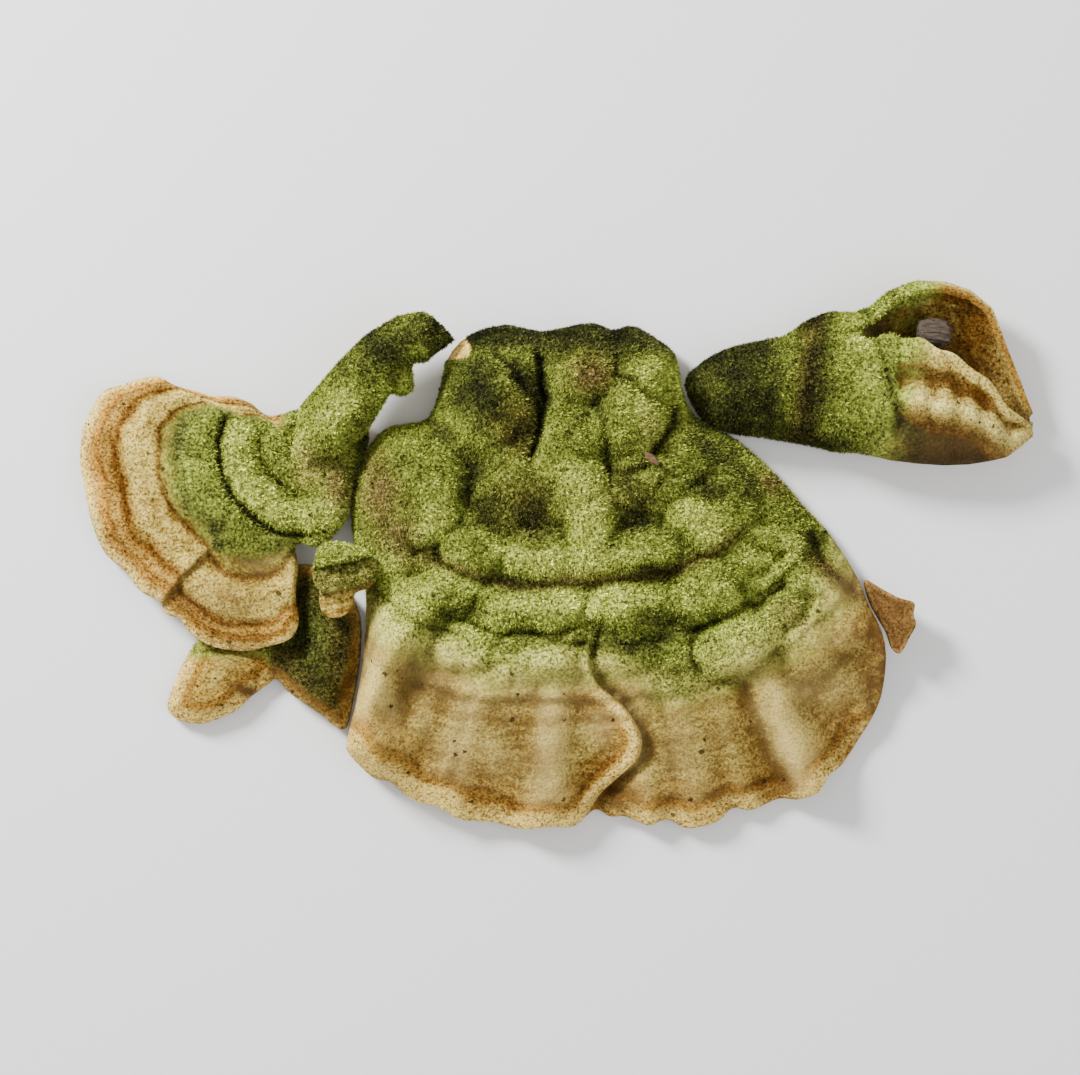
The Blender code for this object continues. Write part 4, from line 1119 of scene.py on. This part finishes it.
def left_fields(co, normal):
    x, y, _ = co.T
    share, _ = wavy_share(x, y)
    inner_ring, arcs = left_rings(x, y)
    inner = most(
        smoothstep(-66, -60, x) * smoothstep(-34, -29, y),
        smoothstep(-66, -61, x) * smoothstep(-18, -10, y),
    )
    edge = (1 - share) * LEFT_REACH * (1 - inner) + ZONE_REACH * inner
    algae = most(smoothstep(0.68, 0.50, share + 0.02 * wander(x, y, 5, 59)), inner)
    algae = algae * (1 - 0.75 * smoothstep(-30, -35, y) * (1 - inner))
    furrow = (1.0 * rise(inner_ring, 0.85) + 0.35 * rise(inner_ring + 8.4, 1.1)) * arcs
    weathered = ((-52.5, -17, 4, 6, 20, 0.85), (-58, -14, 4, 5, 0, 0.6), (-85, -41, 3, 5, -40, 0.5),
                 (-75, -42, 9, 4, -12, 0.75))
    fold = rise(np.abs(left_fold(x, y)), 0.9)
    brown = most(
        patches(weathered, x, y),
        # painted shadow along the fold, where the lower lobe lies below the upper one
        0.9 * fold * smoothstep(-29, -33, y) * smoothstep(-93, -89, x),
    )
    dark = most(
        # painted shade in the furrow and the ring inside it
        0.95 * furrow,
        # painted shade about the ridge, where it meets the base
        patches(((-41, 11, 10, 6, 25, 0.85), (-30, 14, 7, 5, 0, 1.0), (-46, -10, 2.5, 7, 0, 0.6)), x, y),
        0.45 * rise(share - 0.56, 0.06) * smoothstep(-54, -60, x),
    )
    bright = ((-56, -25, 6, 4, 20, 0.9), (-51, -2.5, 7, 4, 45, 0.6), (-67, -33, 6, 3, 0, 0.4),
              (-60, -11, 4.5, 6, 20, 0.6))
    pale = most(0.75 * rise(inner_ring + 4.2, 3.4) * arcs, patches(bright, x, y))
    fuzz = smoothstep(0.60, 0.40, share) * smoothstep(-0.4, 0.1, normal[:, 2])
    fuzz = most(fuzz * (1 - 0.7 * smoothstep(-30, -34, y)), inner * smoothstep(-0.6, -0.1, normal[:, 2]))
    return dict(ring=share * LEFT_REACH, edge=edge, algae=algae, brown=brown, dark=dark, pale=pale, fuzz=fuzz)


def right_fields(co, normal):
    x, y, z = co.T
    stations, y0, y1, z0, z1 = np.array(RIGHT_ROLL, float).T[:5]
    y0, y1, z0, z1 = (np.interp(x, stations, column) for column in (y0, y1, z0, z1))
    from_axis = np.hypot((y - (y0 + y1) / 2) / ((y1 - y0) / 2), (z - (z0 + z1) / 2) / ((z1 - z0) / 2))
    inside = smoothstep(0.90, 0.82, from_axis) * smoothstep(57, 60, x)
    free_y = np.interp(x, (58, 61, 65.6, 72, 78.6, 84.4, 88.7, 94.5), (17, 15, 13, 11, 9.2, 6.8, 2.0, -4.9))
    fold_y = np.interp(x, (60, 64, 68.5, 76, 80, 90), (5, 3, 0.2, -1.8, -2.7, -8.5))
    fold_y = fold_y + 0.5 * wander(x, 0 * x, 3, 87)
    rim_y = np.interp(
        x, (58, 64.5, 70, 76, 81, 85.5, 89, 92, 94.4), (19, 21.6, 23.8, 23.4, 21.8, 18.4, 11, 4, -1.4))
    on_flap = smoothstep(62, 67, x - 0.25 * (y - 4)) * smoothstep(6, 9, z) * (1 - inside)
    crest = rise(y - fold_y, 1.5) * on_flap
    belly = smoothstep(fold_y - 0.5, fold_y - 7.5, y)

    # tone is the place in the roll's zones: dark at its rim, browns inside, pale on the flap, with a painted
    # highlight along the fold's crest
    tone = 0.585 + 0.05 * wander(x, y, 4, 89) - 0.52 * belly + 0.13 * crest
    # painted highlight along the flap's free edge
    tone = tone + 0.16 * rise(y - free_y, 0.9) * on_flap
    inner_tone = 0.38 - 0.12 * smoothstep(76, 83, x) + 0.16 * smoothstep(83, 89, x)
    # inside the roll, painted shade that deepens towards its closed end
    tone = np.where(inside > 0.5, inner_tone - 0.2 * smoothstep(70, 64, x), tone)
    rim = smoothstep(1.9, 0.9, np.abs(y - rim_y + 0.6)) * smoothstep(62, 67, x) * (y > free_y + 3)
    tone = tone * (1 - rim) + 0.22 * rim

    algae = most(
        smoothstep(74, 62, x - 0.30 * (y - 2) + 1.8 * wander(x, y, 7, 85)) * (1 - inside),
        0.45 * belly * smoothstep(84, 66, x) * (1 - inside),
        0.40 * inside * smoothstep(76, 68, x),
    )
    bands = 0.8 * rise(x - 47.5 - 0.12 * y - 1.2 * wander(x, y, 4, 91), 3.1)
    bands = bands + 0.35 * rise(x - 36 - 0.1 * y, 2.2) + 0.35 * rise(x - 27, 2.5)
    bands += 0.6 * rise(x - 63 + 0.30 * (y - 5), 1.1) * (y > -6)
    dark = most(
        bands,
        0.7 * smoothstep(-2.5, -9, y) * smoothstep(66, 50, x),
        0.9 * belly * smoothstep(62, 70, x) * smoothstep(94, 88, x),
        0.78 * smoothstep(44, 38, x),
        # painted shade deep inside the roll, towards its closed end
        inside * smoothstep(68, 62, x) * 0.9,
        # painted shadow just inside the flap's free edge
        0.75 * smoothstep(1.4, 0.3, np.abs(y - free_y - 1.5)) * inside,
    )
    weathered = ((84, -9, 8, 3, -8, 1.0), (70, -10, 9, 3, 0, 0.7), (87, -6, 5, 2, -40, 0.7))
    brown = most(0.6 * rise(x - 46.0 - 0.12 * y, 2.4), 0.6 * patches(weathered, x, y))
    # paler patches, and a painted highlight along the fold's crest
    pale = most(0.42 * patches(((58, 12.5, 5.5, 6, 0, 1.0), (60, 7, 3.6, 6, 10, 1.0)), x, y), 0.25 * crest)
    fuzz = smoothstep(68, 58, x - 0.3 * y) * (1 - inside) * smoothstep(-0.5, -0.1, normal[:, 2])
    return dict(ring=x + 0.35 * (y - 2), edge=tone * ZONE_REACH, algae=algae, brown=brown,
                dark=np.clip(dark, 0, 1), pale=pale, fuzz=fuzz)


def lower_left_fields(co, normal):
    x, y, _ = co.T
    edge = distance_to(ring_of(LOWER_LEFT_OUTLINE, 120), x, y)
    inner_lobe = smoothstep(-68.5, -65.5, x)
    algae = smoothstep(1.0, 4.0, edge + 1.2 * wander(x, y, 5, 63)) * inner_lobe
    algae = algae + 0.7 * smoothstep(-57, -52, y) * (1 - inner_lobe)
    weathered = ((-71.2, -62.2, 6, 1.9, -38, 1.2), (-60, -60, 6, 3, 35, 0.5), (-85, -62, 2.4, 5, -30, 0.4),
                 (-77, -56, 6, 4, 20, 0.35))
    brown = most(0.6 * inner_lobe * smoothstep(9, 5, edge), patches(weathered, x, y))
    return dict(ring=edge * 1.1, edge=edge * (1.2 - 0.2 * inner_lobe) + 2.5 * inner_lobe,
                algae=np.clip(algae, 0, 0.95), brown=brown, dark=0.6 * inner_lobe,
                fuzz=0.8 * algae * smoothstep(-0.3, 0.1, normal[:, 2]))


def lower_right_fields(co, normal):
    x, y, _ = co.T
    edge = distance_to(ring_of(LOWER_RIGHT_OUTLINE, 90), x, y)
    return dict(ring=edge * 2 + 0.4 * x, edge=edge, brown=np.full(len(co), 0.3))


def young_fields(co, normal):
    x, y, _ = co.T
    slope = young_slope(x, y)
    tip = smoothstep(-39.2, -40.2, slope)
    edge = np.interp(slope, (-46, -44.8, -43.0, -42.3, -41.6, -39.6), (0, 1.0, 12, 5.5, 14, 14))
    algae = 1 - 0.9 * tip
    return dict(
        ring=slope, edge=edge * tip + OLD_PART * (1 - tip), algae=algae,
        brown=0.55 * smoothstep(-34.6, -35.4, slope) * (1 - tip),
        # painted shadow lines under the edges of the tiers
        dark=0.85 * rise(slope + 40.2, 0.45) + 0.75 * rise(slope + 34.5, 0.5),
        pale=0.2 * smoothstep(-35.4, -34.6, slope),
        fuzz=algae * smoothstep(-0.4, 0.1, normal[:, 2]),
    )


# ---- bark chip and husk ------------------------------------------------------------------------------
def bark_material(name, dark, light):
    made, g, shader = new_material(name)
    lie = {"Vector": g.place(), "Rotation": (0, 0, 0.2), "Scale": (0.25, 1.6, 1.0)}
    fibres = g.noise(1400, 4, 0.7, g.add("ShaderNodeMapping", lie).outputs[0])
    specks = g.group(SPECKS, Scale=900.0, Size=0.25, Rarity=0.7)[0]
    colour = g.mix(specks, g.ramp(fibres, (0.3, dark), (0.7, light)), (0.01, 0.008, 0.006))
    g.feed(shader, "Base Color", colour)
    g.feed(shader, "Normal", g.add("ShaderNodeBump", {"Height": fibres, "Strength": 0.8, "Distance": 0.0004}))
    g.feed(shader, "Roughness", g.ramp(fibres, (0.3, 0.95), (0.8, 0.75)))
    return made


def splintery(name, node, turn, slim, seed):
    """A rough, fibrous lump that fills its solid's box, narrowed across its grain."""
    low, high = (np.array(corner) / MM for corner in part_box(node))
    shape = bmesh.new()
    bmesh.ops.create_icosphere(shape, subdivisions=5, radius=1)
    co = np.array([v.co for v in shape.verts])
    co = 0.6 * co + 0.4 * co / np.abs(co).max(1, keepdims=True)
    along, grain = turned(co[:, 0], co[:, 1], turn)
    z = co[:, 2]
    spindle = np.stack([*turned(along, grain * slim, -turn), z], 1)
    splinters = 0.10 * wander(grain * 9, along * 1.4 + z * 5, 1, seed)
    co = spindle * (1 + splinters + 0.10 * wander(grain * 2, z * 2 + along, 1, seed + 1))[:, None]
    co = (co - co.min(0)) / (co.max(0) - co.min(0)) * (high - low) + low
    put(shape, co * MM)
    made = mesh_object(name, shape)
    made.data.shade_smooth()
    return made


# ---- making the pieces -------------------------------------------------------------------------------
def settle(made, nodes=()):
    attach(made, "root")
    if nodes:
        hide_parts(*nodes)


def dress(made, finish):
    made.data.materials.clear()
    made.data.materials.append(finish)


def build_fan(node, parts, voxel, finish, detail, fields):
    """The finished skin of one fan, in place of its solid."""
    skin = grown_together(node + "_skin", parts, voxel)
    dress(skin, finish)
    finish_skin(skin, detail, fields)
    settle(skin, (node,))
    return skin


def build_fans():
    cream = skin_material("cream and tan zones", CREAM_ZONES)
    cream_hair = skin_material("velvet on the main fan", CREAM_ZONES, tip=True)
    left = skin_material("left fan zones", LEFT_ZONES)
    left_hair = skin_material("velvet on the left fan", LEFT_ZONES, tip=True)
    roll = skin_material("rolled fan", ROLL_ZONES)
    roll_hair = skin_material("velvet on the rolled fan", ROLL_ZONES, tip=True)
    brown = skin_material("aged brown flesh", BROWN_ZONES)
    tree = velvet_tree()

    parts = (
        moulded("body", MAIN_OUTLINE, (1, -28), lambda x, y: main_surface(x, y, False), 420, 150),
        moulded("front", FRONT_LOBE_OUTLINE, (-18, -66), lambda x, y: main_surface(x, y, True), 300, 90),
    )
    skin = build_fan("main_fan", parts, 0.60, cream, main_detail, main_fields)
    for part, seed in (("a", 1), ("b", 2), ("c", 8)):
        settle(grow(f"main_fan_velvet_{part}", skin, tree, cream_hair, 4.4, seed))

    parts = (
        moulded("fan", LEFT_OUTLINE, (-70, -16), left_surface, 320, 90),
        swept("ridge", LEFT_RIDGE),
        swept("droplet", DROPLET_LOBE, 20, 24),
    )
    skin = build_fan("left_fan", parts, 0.42, left, left_detail, left_fields)
    settle(grow("left_fan_velvet", skin, tree, left_hair, 12.5, 3))

    parts = (
        moulded("end", RIGHT_OUTLINE, (46, 3), right_surface, 200, 60),
        rolled("roll", RIGHT_ROLL, 120, 200, 1.7),
    )
    skin = build_fan("right_fan", parts, 0.42, roll, right_detail, right_fields)
    settle(grow("right_fan_velvet", skin, tree, roll_hair, 12.5, 4))

    for node, outline, heart, surface, fields, finish, slot in (
        ("lower_left_fan", LOWER_LEFT_OUTLINE, (-62, -52.5), lower_left_surface, lower_left_fields,
         cream, "zoned_flesh"),
        ("lower_right_fan", LOWER_RIGHT_OUTLINE, (66, -45.5), lower_right_surface, lower_right_fields,
         brown, "brown_flesh"),
        ("young_fan", YOUNG_OUTLINE, (-51.2, -37.2), young_surface, young_fields, cream, "zoned_flesh"),
    ):
        parts = (moulded("small", outline, heart, surface, 160, 60),)
        skin = build_fan(node, parts, 0.34, finish, small_detail, fields)
        if finish is not brown:
            settle(grow(node + "_velvet", skin, tree, cream_hair, 12, 6, SHORT_HAIR_LENGTH))


def build_litter():
    for node, turn, slim, dark, light in (
        ("bark_chip", -12, 0.85, (0.018, 0.012, 0.008), (0.13, 0.090, 0.058)),
        ("husk", -38, 0.4, (0.030, 0.014, 0.005), (0.26, 0.15, 0.055)),
    ):
        made = splintery(node + "_piece", node, turn, slim, 7)
        dress(made, bark_material(node + " fibres", dark, light))
        settle(made, (node,))


# ---- floor, light and camera -------------------------------------------------------------------------
def lamp(name, at, size, power):
    light = bpy.data.lights.new(name, "AREA")
    light.shape, light.size, light.energy = "DISK", size, power
    made = linked(name, light)
    made.location = at
    made.rotation_euler = (Vector((0, -0.03, 0.01)) - Vector(at)).to_track_quat("-Z", "Y").to_euler()


def build_stage():
    bpy.ops.mesh.primitive_plane_add(size=6, location=(0, 0, -0.0002))
    floor = bpy.context.object
    floor.name = "floor"
    pale, g, shader = new_material("plain floor")
    g.feed(shader, "Base Color", (0.90, 0.90, 0.90, 1))
    g.feed(shader, "Roughness", 0.9)
    floor.data.materials.append(pale)

    lamp("key", (-0.50, 0.42, 0.42), 0.22, 14.0)
    lamp("fill", (0.5, -0.3, 0.7), 0.8, 3.5)
    world = bpy.data.worlds.new("studio")
    bpy.context.scene.world = world
    world.use_nodes = True
    backdrop = world.node_tree.nodes["Background"].inputs
    backdrop["Color"].default_value = (1, 1, 1, 1)
    backdrop["Strength"].default_value = 0.70

    # the camera looks straight down on the cluster, and takes in this width at its middle height
    view_width = 0.2268
    camera = bpy.data.cameras.new("camera")
    camera.lens, camera.sensor_width, camera.sensor_fit = 100, 36, "HORIZONTAL"
    made = linked("camera", camera)
    made.location = (-0.00945, -0.0289, 0.012 + view_width * camera.lens / camera.sensor_width)
    bpy.context.scene.camera = made


build_fans()
build_litter()
build_stage()
